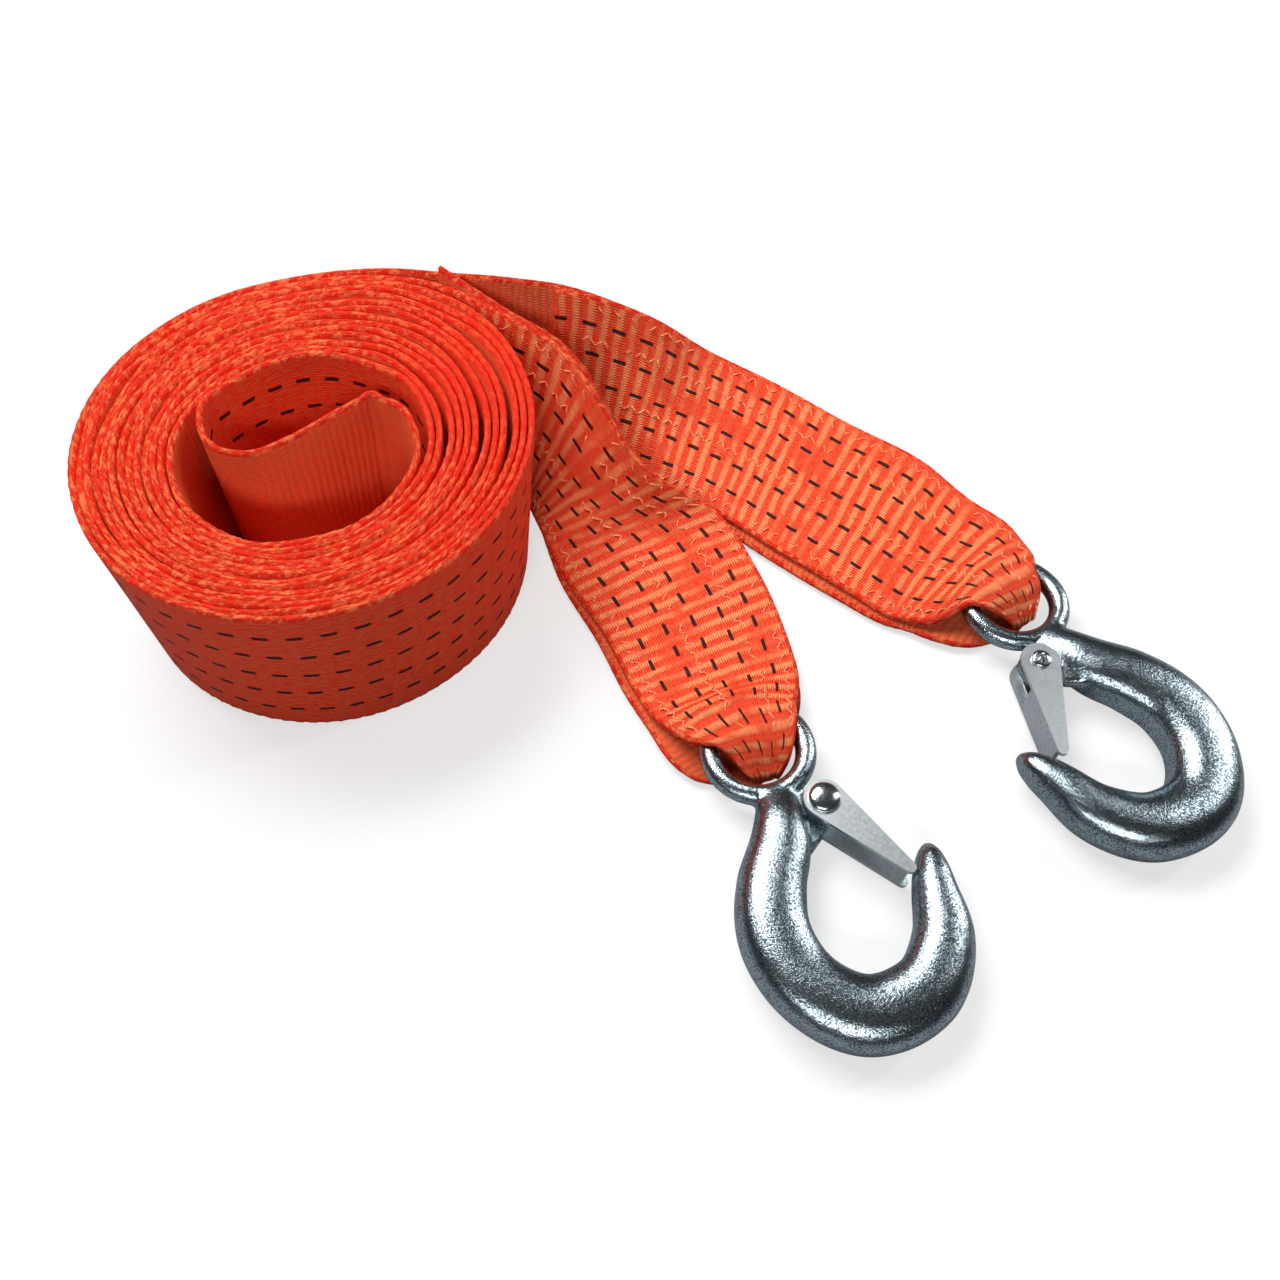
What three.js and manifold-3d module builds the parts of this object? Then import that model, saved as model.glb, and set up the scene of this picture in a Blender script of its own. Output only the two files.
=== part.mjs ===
// Tow strap: a long woven strap folded at its middle and wound double into a coil that
// stands on its edges. Both ends leave the coil at the back, turn flat and carry a sewn
// eye with a slip hook. Millimetres, +Z up, the floor at z = 0.
import * as THREE from 'three';
import { mergeVertices } from 'three/addons/utils/BufferGeometryUtils.js';
import Module from 'manifold-3d';

const wasm = await Module();
wasm.setup();

// Webbing
const WEB_WIDTH = 50;
const PLY = 1.8;
const SEWN_PLIES = 2 * PLY + 0.2;
const EYE_ROOT = SEWN_PLIES + 0.8;
const FLOOR_LIFT = 0.2;

// Coil: the rim at the top and at the bottom, because the wound layers lean outward
const COIL_TOP = { x: -78.9, y: 180.6, radius: 54.4 };
const COIL_BOTTOM = { x: -81.2, y: 177.6, radius: 50.7 };
const BORE_TOP = { x: -79.5, y: 175, radius: 28 };
const BORE_BOTTOM = { x: -81.8, y: 172.3, radius: 26.1 };
// The rim is pressed flatter at the back, where the tails leave
const BACK_FLAT = 2;
const BACK_ANGLE = THREE.MathUtils.degToRad(100);
const TURN_PAIRS = 6;
const GROOVE_DEPTH = 1.6;
const GROOVE_SHARE = 0.16;
const COIL_STEPS = 48;

// Hook forging, in its own frame: ring centre at the origin, the bowl towards -Y
const RING_RADIUS = 11.5;
const RING_BAR = 2.6;
const HOOK_HALF_THICKNESS = 7;
const RING_GAP = 0.45;
const RING_STEPS = 36;
const BAR_STEPS = 12;
const SECTION_STEPS = 14;
const SECTION_POWER = 0.8;
// x, y, half width in the plane, half thickness across it
const HOOK_LINE = [
  [-1.4, -11.4, 4.2, 2.6],
  [-3.2, -15.8, 5.2, 4.6],
  [-7.3, -23.7, 7.0, 6.2],
  [-13.3, -31.0, 7.7, 6.8],
  [-17.8, -40.0, 8.0, HOOK_HALF_THICKNESS],
  [-17.1, -53.2, 8.0, HOOK_HALF_THICKNESS],
  [-8.2, -64.2, 8.1, HOOK_HALF_THICKNESS],
  [6.0, -64.7, 7.7, HOOK_HALF_THICKNESS],
  [15.7, -56.2, 6.5, 6.4],
  [19.3, -47.3, 4.9, 5.6],
  [21.7, -41.6, 3.6, 4.6],
  [23.0, -38.6, 2.2, 3.2],
];
const TIP_CLOSE = 0.35;
const TIP_REACH = 0.7;
const HOOK_SUBSTEPS = 2;

// Latch: a folded sheet channel on a rivet through the lug of the shank
const PIVOT = { x: 6.5, y: -18.9 };
const LUG_RADIUS = 4.4;
const LUG_LOW = -2.8;
const LUG_HIGH = 0.9;
const LUG_ARC = [-0.3 * Math.PI, 0.5 * Math.PI];
// Where the lug's outline runs into the shank
const LUG_FOOT = [[-3, -13], [-6, -26.3], [-1, -27.8]];
const SHEET = 1.2;
const CHANNEL_HALF = 5.2;
const CHEEK_RADIUS = 4.7;
const LATCH_LENGTH = 25.4;
const LATCH_TIP_HALF = 1.3;
const LATCH_ANGLE = THREE.MathUtils.degToRad(-68);
const WEB_START = 7.5;
const RIVET_RADIUS = 1.7;
const FIT = 0.3;
const RIVET_HEAD_RADIUS = 3.7;
const RIVET_HEAD_HEIGHT = 1.4;
const CLINCH_RADIUS = 2.6;
const CLINCH_HEIGHT = 1.1;
const CLINCH_BORE = 1.3;
// Shares of radius and height: the dome of the head, the rolled edge and the hollow
const DOME = [[1, 0], [1, 0.25], [0.8, 0.66], [0.4, 0.94], [0, 1]];
const CLINCH_ROLL = [0.8, 0.5];
const CLINCH_HOLLOW = 0.6;
const PIN_STEPS = 24;
const SPRING_WIRE = 0.35;
const SPRING_COIL = 2.4;
const SPRING_TURNS = 1.5;
const SPRING_LEG = 11;
const SPRING_LEG_ANGLE = THREE.MathUtils.degToRad(-6);
const SPRING_COIL_SHARE = 0.65;
const SPRING_STEPS = 32;

// Where the two hooks lie; the rear one is turned over
const HOOK_FRONT = { x: 28, y: 116.3, turn: THREE.MathUtils.degToRad(25.2), over: 0 };
const HOOK_REAR = { x: 96.2, y: 158.2, turn: THREE.MathUtils.degToRad(24), over: Math.PI };
const HOOK_LEVEL = HOOK_HALF_THICKNESS + FLOOR_LIFT;
const EYE_LEVEL = HOOK_LEVEL - 0.3;
const EYE_THICK = 2 * (RING_BAR + PLY + 0.8);
const EYE_THIN = 0.8;
const EYE_END = 0.5;

// Tails: the near edge, the way the width spreads from it (heading and tilt in degrees),
// the width as a share of the webbing's, and the thickness. The strap starts upright in the
// coil and ends flat; sewn and cupped stretches are narrower than the cloth.
const FRONT_ROOT = [[2, 125, 2.9], 20.5, 0.3, 0.801, EYE_ROOT];
const TAIL_FRONT = [
  [[-88, 225.6, 0.5], 47.7, 83.1, 0.985, PLY],
  [[-70, 227.2, 0.5], 56.9, 83.6, 0.985, PLY],
  [[-56, 222.8, 0.6], 62.4, 81.2, 0.985, PLY],
  [[-44, 214.6, 1.0], 36.4, 78.3, 0.980, SEWN_PLIES],
  [[-33.4, 199.5, 1.9], 38.8, 65.0, 0.907, SEWN_PLIES],
  [[-27.6, 185, 2.3], 11.1, 30.3, 0.722, SEWN_PLIES],
  [[-21.5, 169, 2.4], 24.4, 7.6, 0.908, SEWN_PLIES],
  [[-11, 150, 2.4], 25.5, 2.1, 0.931, SEWN_PLIES],
  [[-3, 133, 2.4], 22.8, 0.9, 0.879, SEWN_PLIES],
  FRONT_ROOT,
];
const REAR_ROOT = [[74, 150, 2.9], 50.2, 0.3, 0.859, EYE_ROOT];
const TAIL_REAR = [
  [[-88, 227, 0.5], 66.0, 84.3, 0.985, PLY],
  [[-70, 229.8, 0.5], 50.2, 82.8, 0.985, PLY],
  [[-54, 227, 0.6], 56.3, 81.6, 0.985, PLY],
  [[-38, 221.5, 0.9], 68.2, 77.4, 0.985, PLY],
  [[-22, 214, 1.9], 76.0, 66.7, 0.938, SEWN_PLIES],
  [[-8, 205.5, 2.3], 70.5, 41.1, 0.873, SEWN_PLIES],
  [[7, 197, 2.4], 72.8, 16.0, 0.915, SEWN_PLIES],
  [[20, 188, 2.4], 69.0, 5.2, 1.011, SEWN_PLIES],
  [[36, 175, 2.4], 62.7, 1.3, 1.047, SEWN_PLIES],
  [[52, 163, 2.4], 58.1, 0.3, 1.060, SEWN_PLIES],
  [[64, 155, 2.4], 54.0, 0.4, 0.952, SEWN_PLIES],
  REAR_ROOT,
];
// Sewn eyes: the gathered end goes over the far bar of the ring and down into it
const EYE_FRONT = [
  FRONT_ROOT,
  [[7.5, 119, EYE_LEVEL], 22.3, 0, 0.685, EYE_THICK],
  [[14, 116.2, EYE_LEVEL], 21.4, 0, 0.505, EYE_THICK],
  [[20.5, 112.8, EYE_LEVEL], 18.0, 0, 0.311, EYE_THICK * EYE_THIN],
  [[25, 109.4, EYE_LEVEL], 14.7, 0, 0.174, EYE_THICK * EYE_END],
];
const EYE_REAR = [
  REAR_ROOT,
  [[80.5, 150.5, EYE_LEVEL], 47.3, 0, 0.694, EYE_THICK],
  [[86.5, 151.2, EYE_LEVEL], 47.0, 0, 0.495, EYE_THICK],
  [[92, 152.2, EYE_LEVEL], 47.3, 0, 0.278, EYE_THICK * EYE_THIN],
  [[96.2, 151.4, EYE_LEVEL], 41.6, 0, 0.144, EYE_THICK * EYE_END],
];
// Free loop of the fold inside the bore, as seen along the top edge
const FOLD_LINE = [
  [-111, 187], [-106.5, 184.5], [-103.2, 179], [-98.5, 174], [-91, 172.6],
  [-82, 177.3], [-72, 185.6], [-64.5, 191.5], [-57.5, 189.2], [-53.4, 182],
  [-51.8, 173], [-49.8, 164],
];

const RIBBON_SUBSTEPS = 2;

const vec = (p) => new THREE.Vector3(p[0], p[1], p[2]);

// A closed skin over rings of equal point count, capped or closed on itself
function skin(rings, closed) {
  const count = rings[0].length;
  const points = [];
  const faces = [];
  for (const ring of rings) {
    for (const p of ring) points.push(p.x, p.y, p.z);
  }
  const spans = closed ? rings.length : rings.length - 1;
  for (let i = 0; i < spans; i++) {
    const next = (i + 1) % rings.length;
    for (let j = 0; j < count; j++) {
      const k = (j + 1) % count;
      const a = i * count + j;
      const b = i * count + k;
      const c = next * count + k;
      const d = next * count + j;
      faces.push(a, b, c, a, c, d);
    }
  }
  if (!closed) {
    const last = (rings.length - 1) * count;
    for (let j = 1; j < count - 1; j++) {
      faces.push(0, j + 1, j);
      faces.push(last, last + j, last + j + 1);
    }
  }
  return solid(points, faces);
}

// Signed volume decides which way the faces are wound
function solid(points, faces) {
  let volume = 0;
  for (let i = 0; i < faces.length; i += 3) {
    const [a, b, c] = [0, 1, 2].map((k) => new THREE.Vector3().fromArray(points, 3 * faces[i + k]));
    volume += a.dot(b.cross(c));
  }
  if (volume < 0) {
    for (let i = 0; i < faces.length; i += 3) {
      [faces[i], faces[i + 1]] = [faces[i + 1], faces[i]];
    }
  }
  return new wasm.Manifold(new wasm.Mesh({
    numProp: 3,
    vertProperties: new Float32Array(points),
    triVerts: new Uint32Array(faces),
  }));
}

function fromGeometry(geometry) {
  const bare = new THREE.BufferGeometry();
  bare.setAttribute('position', geometry.getAttribute('position').clone());
  if (geometry.index) bare.setIndex(geometry.index.clone());
  const merged = mergeVertices(bare, 1e-4);
  const index = merged.index.array;
  const faces = [];
  for (let i = 0; i < index.length; i += 3) {
    const [a, b, c] = [index[i], index[i + 1], index[i + 2]];
    if (a !== b && b !== c && a !== c) faces.push(a, b, c);
  }
  return solid(Array.from(merged.getAttribute('position').array), faces);
}

// The largest body of a cut, without the crumbs
function largest(manifold) {
  const bodies = manifold.decompose();
  return bodies.reduce((best, body) => (body.volume() > best.volume() ? body : best));
}

function toGeometry(manifold) {
  const mesh = manifold.getMesh();
  const geometry = new THREE.BufferGeometry();
  const count = mesh.vertProperties.length / mesh.numProp;
  const positions = new Float32Array(3 * count);
  for (let i = 0; i < count; i++) {
    for (let k = 0; k < 3; k++) {
      positions[3 * i + k] = mesh.vertProperties[i * mesh.numProp + k];
    }
  }
  geometry.setAttribute('position', new THREE.BufferAttribute(positions, 3));
  geometry.setIndex(Array.from(mesh.triVerts));
  geometry.computeVertexNormals();
  return geometry;
}

// Smooth run through stations of numbers
function spline(stations, substeps) {
  const out = [];
  const at = (i) => stations[Math.min(Math.max(i, 0), stations.length - 1)];
  for (let i = 0; i < stations.length - 1; i++) {
    for (let s = 0; s < substeps; s++) {
      const t = s / substeps;
      out.push(at(i).map((_, k) => {
        const [p0, p1, p2, p3] = [at(i - 1)[k], at(i)[k], at(i + 1)[k], at(i + 2)[k]];
        const bend = 2 * p0 - 5 * p1 + 4 * p2 - p3;
        const twist = 3 * p1 - p0 - 3 * p2 + p3;
        return 0.5 * (2 * p1 + (p2 - p0) * t + bend * t * t + twist * t * t * t);
      }));
    }
  }
  out.push(stations[stations.length - 1]);
  return out;
}

// Both edges of a tail station
function edges([near, heading, tilt, share, thick]) {
  const turn = THREE.MathUtils.degToRad(heading);
  const rise = THREE.MathUtils.degToRad(tilt);
  const width = WEB_WIDTH * share;
  const far = [
    near[0] + width * Math.cos(rise) * Math.cos(turn),
    near[1] + width * Math.cos(rise) * Math.sin(turn),
    near[2] + width * Math.sin(rise),
  ];
  return [near, far, thick];
}

// A flat strap between two edge lines
function ribbon(stations, substeps) {
  const rows = spline(stations.map(([low, high, thick]) => [...low, ...high, thick]), substeps);
  const near = rows.map((r) => vec(r.slice(0, 3)));
  const far = rows.map((r) => vec(r.slice(3, 6)));
  const rings = rows.map((row, i) => {
    const before = Math.max(i - 1, 0);
    const after = Math.min(i + 1, rows.length - 1);
    const middle = (k) => near[k].clone().add(far[k]).multiplyScalar(0.5);
    const along = middle(after).sub(middle(before));
    const across = far[i].clone().sub(near[i]);
    const normal = along.cross(across).normalize().multiplyScalar(row[6] / 2);
    return [
      near[i].clone().add(normal),
      far[i].clone().add(normal),
      far[i].clone().sub(normal),
      near[i].clone().sub(normal),
    ];
  });
  return skin(rings, false);
}

// A point of the wound body: share 0 at the bore, 1 at the outside
function coilPoint(share, angle, level) {
  const t = level / WEB_WIDTH;
  const mix = (low, high) => low + (high - low) * t;
  const cos = Math.cos(angle);
  const sin = Math.sin(angle);
  const bore = mix(BORE_BOTTOM.radius, BORE_TOP.radius);
  const pressed = BACK_FLAT * Math.max(0, Math.cos(angle - BACK_ANGLE)) ** 3;
  const rim = mix(COIL_BOTTOM.radius, COIL_TOP.radius) - pressed;
  const inner = [
    mix(BORE_BOTTOM.x, BORE_TOP.x) + bore * cos,
    mix(BORE_BOTTOM.y, BORE_TOP.y) + bore * sin,
  ];
  const outer = [
    mix(COIL_BOTTOM.x, COIL_TOP.x) + rim * cos,
    mix(COIL_BOTTOM.y, COIL_TOP.y) + rim * sin,
  ];
  return new THREE.Vector3(
    inner[0] + (outer[0] - inner[0]) * share,
    inner[1] + (outer[1] - inner[1]) * share,
    level,
  );
}

// Wound body with its bore; a groove between the wound pairs shows on both ends
function coil() {
  const profile = [[0, WEB_WIDTH]];
  for (let i = 1; i < TURN_PAIRS; i++) {
    const half = GROOVE_SHARE / TURN_PAIRS / 2;
    profile.push([i / TURN_PAIRS - half, WEB_WIDTH]);
    profile.push([i / TURN_PAIRS, WEB_WIDTH - GROOVE_DEPTH]);
    profile.push([i / TURN_PAIRS + half, WEB_WIDTH]);
  }
  profile.push([1, WEB_WIDTH]);
  const lower = profile.map(([share, level]) => [share, WEB_WIDTH - level]).reverse();
  const outline = [...profile, ...lower];
  const rings = [];
  for (let i = 0; i < COIL_STEPS; i++) {
    const angle = 2 * Math.PI * i / COIL_STEPS;
    rings.push(outline.map(([share, level]) => coilPoint(share, angle, level)));
  }
  return skin(rings, true);
}

function foldLoop() {
  const shrink = COIL_BOTTOM.radius / COIL_TOP.radius;
  return ribbon(FOLD_LINE.map(([x, y]) => {
    const low = [
      COIL_BOTTOM.x + (x - COIL_TOP.x) * shrink,
      COIL_BOTTOM.y + (y - COIL_TOP.y) * shrink,
    ];
    return [[low[0], low[1], FLOOR_LIFT], [x, y, WEB_WIDTH - FLOOR_LIFT], PLY];
  }), RIBBON_SUBSTEPS);
}

function ringBar(bar) {
  return fromGeometry(new THREE.TorusGeometry(RING_RADIUS, bar, BAR_STEPS, RING_STEPS));
}

function webbing() {
  let body = coil().add(foldLoop());
  for (const stations of [TAIL_FRONT, TAIL_REAR, EYE_FRONT, EYE_REAR]) {
    body = body.add(ribbon(stations.map(edges), RIBBON_SUBSTEPS));
  }
  for (const place of [HOOK_FRONT, HOOK_REAR]) {
    body = body.subtract(ringBar(RING_BAR + RING_GAP).translate([place.x, place.y, HOOK_LEVEL]));
  }
  return toGeometry(largest(body));
}

// Bar of rounded section along the drawn line
function hookBody() {
  const rows = spline(HOOK_LINE, HOOK_SUBSTEPS);
  const last = rows[rows.length - 1];
  const lead = rows[rows.length - 2];
  const reach = last[2] / Math.hypot(last[0] - lead[0], last[1] - lead[1]);
  rows.push([
    last[0] + (last[0] - lead[0]) * reach * TIP_REACH,
    last[1] + (last[1] - lead[1]) * reach * TIP_REACH,
    last[2] * TIP_CLOSE,
    last[3] * TIP_CLOSE,
  ]);
  const rings = rows.map((row, i) => {
    const a = rows[Math.max(i - 1, 0)];
    const b = rows[Math.min(i + 1, rows.length - 1)];
    const length = Math.hypot(b[0] - a[0], b[1] - a[1]);
    const side = [-(b[1] - a[1]) / length, (b[0] - a[0]) / length];
    const ring = [];
    for (let j = 0; j < SECTION_STEPS; j++) {
      const angle = 2 * Math.PI * (j + 0.5) / SECTION_STEPS;
      const round = (v) => Math.sign(v) * Math.abs(v) ** SECTION_POWER;
      const out = round(Math.cos(angle)) * row[2];
      ring.push(new THREE.Vector3(
        row[0] + side[0] * out,
        row[1] + side[1] * out,
        round(Math.sin(angle)) * row[3],
      ));
    }
    return ring;
  });
  return skin(rings, false);
}

function plate(shape, low, high) {
  const geometry = new THREE.ExtrudeGeometry(shape, {
    depth: high - low,
    bevelEnabled: false,
    curveSegments: 10,
  });
  geometry.translate(0, 0, low);
  return fromGeometry(geometry);
}

function pin(radius, half, x, y) {
  const geometry = new THREE.CylinderGeometry(radius, radius, 2 * half, PIN_STEPS);
  geometry.rotateX(Math.PI / 2);
  geometry.translate(x, y, 0);
  return fromGeometry(geometry);
}

function hook() {
  const lug = new THREE.Shape();
  lug.absarc(PIVOT.x, PIVOT.y, LUG_RADIUS, ...LUG_ARC, false);
  for (const [x, y] of LUG_FOOT) lug.lineTo(x, y);
  const forging = ringBar(RING_BAR)
    .add(hookBody())
    .add(plate(lug, LUG_LOW, LUG_HIGH))
    .subtract(pin(RIVET_RADIUS + FIT, HOOK_HALF_THICKNESS, PIVOT.x, PIVOT.y));
  return toGeometry(largest(forging));
}

// Latch in its own frame: the pivot at the origin, the tip towards +X, the web on +Y
function latch() {
  const cheek = new THREE.Shape();
  const lean = Math.asin((CHEEK_RADIUS - LATCH_TIP_HALF) / LATCH_LENGTH);
  cheek.absarc(0, 0, CHEEK_RADIUS, Math.PI / 2 - lean, 1.5 * Math.PI + lean, false);
  cheek.absarc(LATCH_LENGTH - LATCH_TIP_HALF, 0, LATCH_TIP_HALF, lean - Math.PI / 2,
    Math.PI / 2 - lean, false);
  const upper = plate(cheek, CHANNEL_HALF - SHEET, CHANNEL_HALF);
  const lower = plate(cheek, -CHANNEL_HALF, SHEET - CHANNEL_HALF);
  const edge = (x) => {
    const run = x / (LATCH_LENGTH - LATCH_TIP_HALF);
    return (CHEEK_RADIUS + (LATCH_TIP_HALF - CHEEK_RADIUS) * run) / Math.cos(lean);
  };
  const web = new THREE.Shape();
  const end = LATCH_LENGTH - LATCH_TIP_HALF;
  web.moveTo(WEB_START, edge(WEB_START) - SHEET);
  web.lineTo(end, edge(end) - SHEET);
  web.lineTo(end, edge(end));
  web.lineTo(WEB_START, edge(WEB_START));
  const channel = upper.add(lower)
    .add(plate(web, -CHANNEL_HALF + SHEET / 2, CHANNEL_HALF - SHEET / 2))
    .subtract(pin(RIVET_RADIUS + FIT, 2 * CHANNEL_HALF, 0, 0));
  return toGeometry(largest(channel));
}

// Domed head above, rolled tubular end below
function rivet() {
  const top = CHANNEL_HALF + FIT;
  const profile = [
    [0, -top + CLINCH_HEIGHT],
    [CLINCH_BORE * CLINCH_HOLLOW, -top + CLINCH_HEIGHT * CLINCH_HOLLOW],
    [CLINCH_BORE, -top - CLINCH_HEIGHT],
    [CLINCH_RADIUS * CLINCH_ROLL[0], -top - CLINCH_HEIGHT],
    [CLINCH_RADIUS, -top - CLINCH_HEIGHT * CLINCH_ROLL[1]],
    [CLINCH_RADIUS, -top],
    [RIVET_RADIUS, -top],
    [RIVET_RADIUS, top],
    ...DOME.map(([r, h]) => [RIVET_HEAD_RADIUS * r, top + RIVET_HEAD_HEIGHT * h]),
  ];
  const points = profile.map(([r, h]) => new THREE.Vector2(r, h));
  const geometry = new THREE.LatheGeometry(points, PIN_STEPS);
  geometry.rotateX(Math.PI / 2);
  return toGeometry(fromGeometry(geometry));
}

// Torsion spring around the rivet beside the lug, one leg under the web of the latch
class SpringLine extends THREE.Curve {
  getPoint(t) {
    const low = LUG_HIGH + FIT + SPRING_WIRE;
    const high = CHANNEL_HALF - SHEET - FIT - SPRING_WIRE;
    const finish = SPRING_LEG_ANGLE + Math.PI / 2;
    const wound = Math.min(t / SPRING_COIL_SHARE, 1);
    const angle = finish + (1 - wound) * SPRING_TURNS * 2 * Math.PI;
    const run = SPRING_LEG * Math.max(t - SPRING_COIL_SHARE, 0) / (1 - SPRING_COIL_SHARE);
    return new THREE.Vector3(
      SPRING_COIL * Math.cos(angle) + Math.sin(angle) * run,
      SPRING_COIL * Math.sin(angle) - Math.cos(angle) * run,
      low + (high - low) * wound,
    );
  }
}

function spring() {
  const section = new THREE.Shape();
  section.absarc(0, 0, SPRING_WIRE, 0, 2 * Math.PI, false);
  const geometry = new THREE.ExtrudeGeometry(section, {
    steps: SPRING_STEPS,
    extrudePath: new SpringLine(),
    curveSegments: 3,
    bevelEnabled: false,
  });
  return toGeometry(fromGeometry(geometry));
}

const webbingMaterial = new THREE.MeshStandardMaterial({
  name: 'webbing', color: 0xe8481c, roughness: 0.85, metalness: 0,
});
const forgedMaterial = new THREE.MeshStandardMaterial({
  name: 'zinc_forging', color: 0x9fb0b8, roughness: 0.3, metalness: 1,
});
const sheetMaterial = new THREE.MeshStandardMaterial({
  name: 'zinc_sheet', color: 0xc9d0d2, roughness: 0.35, metalness: 1,
});
const rivetMaterial = new THREE.MeshStandardMaterial({
  name: 'zinc_rivet', color: 0xc2c8cc, roughness: 0.25, metalness: 1,
});
const springMaterial = new THREE.MeshStandardMaterial({
  name: 'spring_wire', color: 0x8c9296, roughness: 0.35, metalness: 1,
});

const strap = new THREE.Group();
strap.name = 'tow_strap';

function addMesh(parent, name, geometry, material) {
  const mesh = new THREE.Mesh(geometry, material);
  mesh.name = name;
  parent.add(mesh);
  return mesh;
}

addMesh(strap, 'webbing', webbing(), webbingMaterial);

for (const [suffix, place] of [['front', HOOK_FRONT], ['rear', HOOK_REAR]]) {
  const frame = new THREE.Group();
  frame.position.set(place.x, place.y, HOOK_LEVEL);
  frame.rotation.set(0, place.over, place.turn, 'ZYX');
  addMesh(frame, `hook_${suffix}`, hook(), forgedMaterial);
  addMesh(frame, `rivet_${suffix}`, rivet(), rivetMaterial).position.set(PIVOT.x, PIVOT.y, 0);
  const swing = new THREE.Group();
  swing.position.set(PIVOT.x, PIVOT.y, 0);
  swing.rotation.z = LATCH_ANGLE;
  addMesh(swing, `latch_${suffix}`, latch(), sheetMaterial);
  addMesh(swing, `spring_${suffix}`, spring(), springMaterial);
  frame.add(swing);
  strap.add(frame);
}

// The floor centre of the whole becomes the origin
strap.updateMatrixWorld(true);
const bounds = new THREE.Box3().setFromObject(strap, true);
const centre = bounds.getCenter(new THREE.Vector3());
for (const child of strap.children) {
  child.position.x -= centre.x;
  child.position.y -= centre.y;
  child.position.z -= bounds.min.z;
}
strap.updateMatrixWorld(true);

export default strap;
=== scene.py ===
import math
import random
from functools import partial

import bmesh
import bpy
import numpy as np
from bpy.props import FloatProperty, FloatVectorProperty, IntProperty, PointerProperty
from mathutils import Matrix, Vector


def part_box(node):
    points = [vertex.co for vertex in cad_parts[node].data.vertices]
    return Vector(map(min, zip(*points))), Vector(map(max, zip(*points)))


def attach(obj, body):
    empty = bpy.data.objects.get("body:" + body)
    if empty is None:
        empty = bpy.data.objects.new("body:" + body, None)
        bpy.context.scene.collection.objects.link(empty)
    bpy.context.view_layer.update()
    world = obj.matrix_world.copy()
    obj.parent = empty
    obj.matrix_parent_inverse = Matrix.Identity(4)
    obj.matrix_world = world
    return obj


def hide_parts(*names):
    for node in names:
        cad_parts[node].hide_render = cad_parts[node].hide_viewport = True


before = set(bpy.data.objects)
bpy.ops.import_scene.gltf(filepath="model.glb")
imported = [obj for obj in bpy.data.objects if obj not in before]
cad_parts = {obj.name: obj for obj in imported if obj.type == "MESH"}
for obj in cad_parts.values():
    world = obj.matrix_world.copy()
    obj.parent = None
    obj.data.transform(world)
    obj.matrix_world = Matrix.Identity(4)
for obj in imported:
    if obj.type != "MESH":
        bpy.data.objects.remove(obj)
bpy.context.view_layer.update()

bl_info = {
    "name": "Tow strap",
    "version": (1, 0, 0),
    "blender": (4, 5, 0),
    "location": "View3D > Sidebar > Tow strap",
    "description": "Coiled tow strap of woven webbing with two latched slip hooks",
    "category": "Object",
}

MM = 0.001

# Drawing values in millimetres, the same as the part's own
WEB_WIDTH = 50.0
COIL_TOP = (-78.9, 180.6, 54.4)
COIL_BOTTOM = (-81.2, 177.6, 50.7)
BORE_TOP = (-79.5, 175.0, 28.0)
BORE_BOTTOM = (-81.8, 172.3, 26.1)
BACK_FLAT = 2.0
BACK_ANGLE = math.radians(100)
RING_RADIUS = 11.5
RING_BAR = 2.6
HOOK_LEVEL = 7.2
HOOK_LINE = [
    (-1.4, -11.4, 4.2, 2.6), (-3.2, -15.8, 5.2, 4.6), (-7.3, -23.7, 7.0, 6.2),
    (-13.3, -31.0, 7.7, 6.8), (-17.8, -40.0, 8.0, 7.0), (-17.1, -53.2, 8.0, 7.0),
    (-8.2, -64.2, 8.1, 7.0), (6.0, -64.7, 7.7, 7.0), (15.7, -56.2, 6.5, 6.4),
    (19.3, -47.3, 4.9, 5.6), (21.7, -41.6, 3.6, 4.6), (23.0, -38.6, 2.2, 3.2),
    (23.7, -37.1, 0.9, 1.3),
]
PIVOT = (6.5, -18.9)
LUG_RADIUS = 4.4
LUG_LOW = -2.8
LUG_HIGH = 0.9
SHEET = 1.2
CHANNEL_HALF = 5.2
CHEEK_RADIUS = 4.7
LATCH_LENGTH = 25.4
LATCH_TIP_HALF = 1.3
LATCH_ANGLE = math.radians(-68)
WEB_START = 7.5
RIVET_RADIUS = 1.7
FIT = 0.3
HOOKS = {
    "front": {"x": 28.0, "y": 116.3, "turn": math.radians(25.2), "over": 0.0},
    "rear": {"x": 96.2, "y": 158.2, "turn": math.radians(24), "over": math.pi},
}

# Both tails: near edge, heading and tilt of the width in degrees, share of the width
FRONT_TAIL = [
    ((-70, 227.2, 0.5), 56.9, 83.6, 0.985), ((-56, 222.8, 0.6), 62.4, 81.2, 0.985),
    ((-44, 214.6, 1.0), 36.4, 78.3, 0.980), ((-33.4, 199.5, 1.9), 38.8, 65.0, 0.907),
    ((-27.6, 185, 2.3), 11.1, 30.3, 0.722), ((-21.5, 169, 2.4), 24.4, 7.6, 0.908),
    ((-11, 150, 2.4), 25.5, 2.1, 0.931), ((-3, 133, 2.6), 22.8, 0.9, 0.879),
]
REAR_TAIL = [
    ((-70, 229.8, 0.5), 50.2, 82.8, 0.985), ((-54, 227, 0.6), 56.3, 81.6, 0.985),
    ((-38, 221.5, 0.9), 68.2, 77.4, 0.985), ((-22, 214, 1.9), 76.0, 66.7, 0.938),
    ((-8, 205.5, 2.3), 70.5, 41.1, 0.873), ((7, 197, 2.4), 72.8, 16.0, 0.915),
    ((20, 188, 2.4), 69.0, 5.2, 1.011), ((36, 175, 2.4), 62.7, 1.3, 1.047),
    ((52, 163, 2.4), 58.1, 0.3, 1.060), ((64, 155, 2.5), 54.0, 0.4, 0.952),
]
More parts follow.
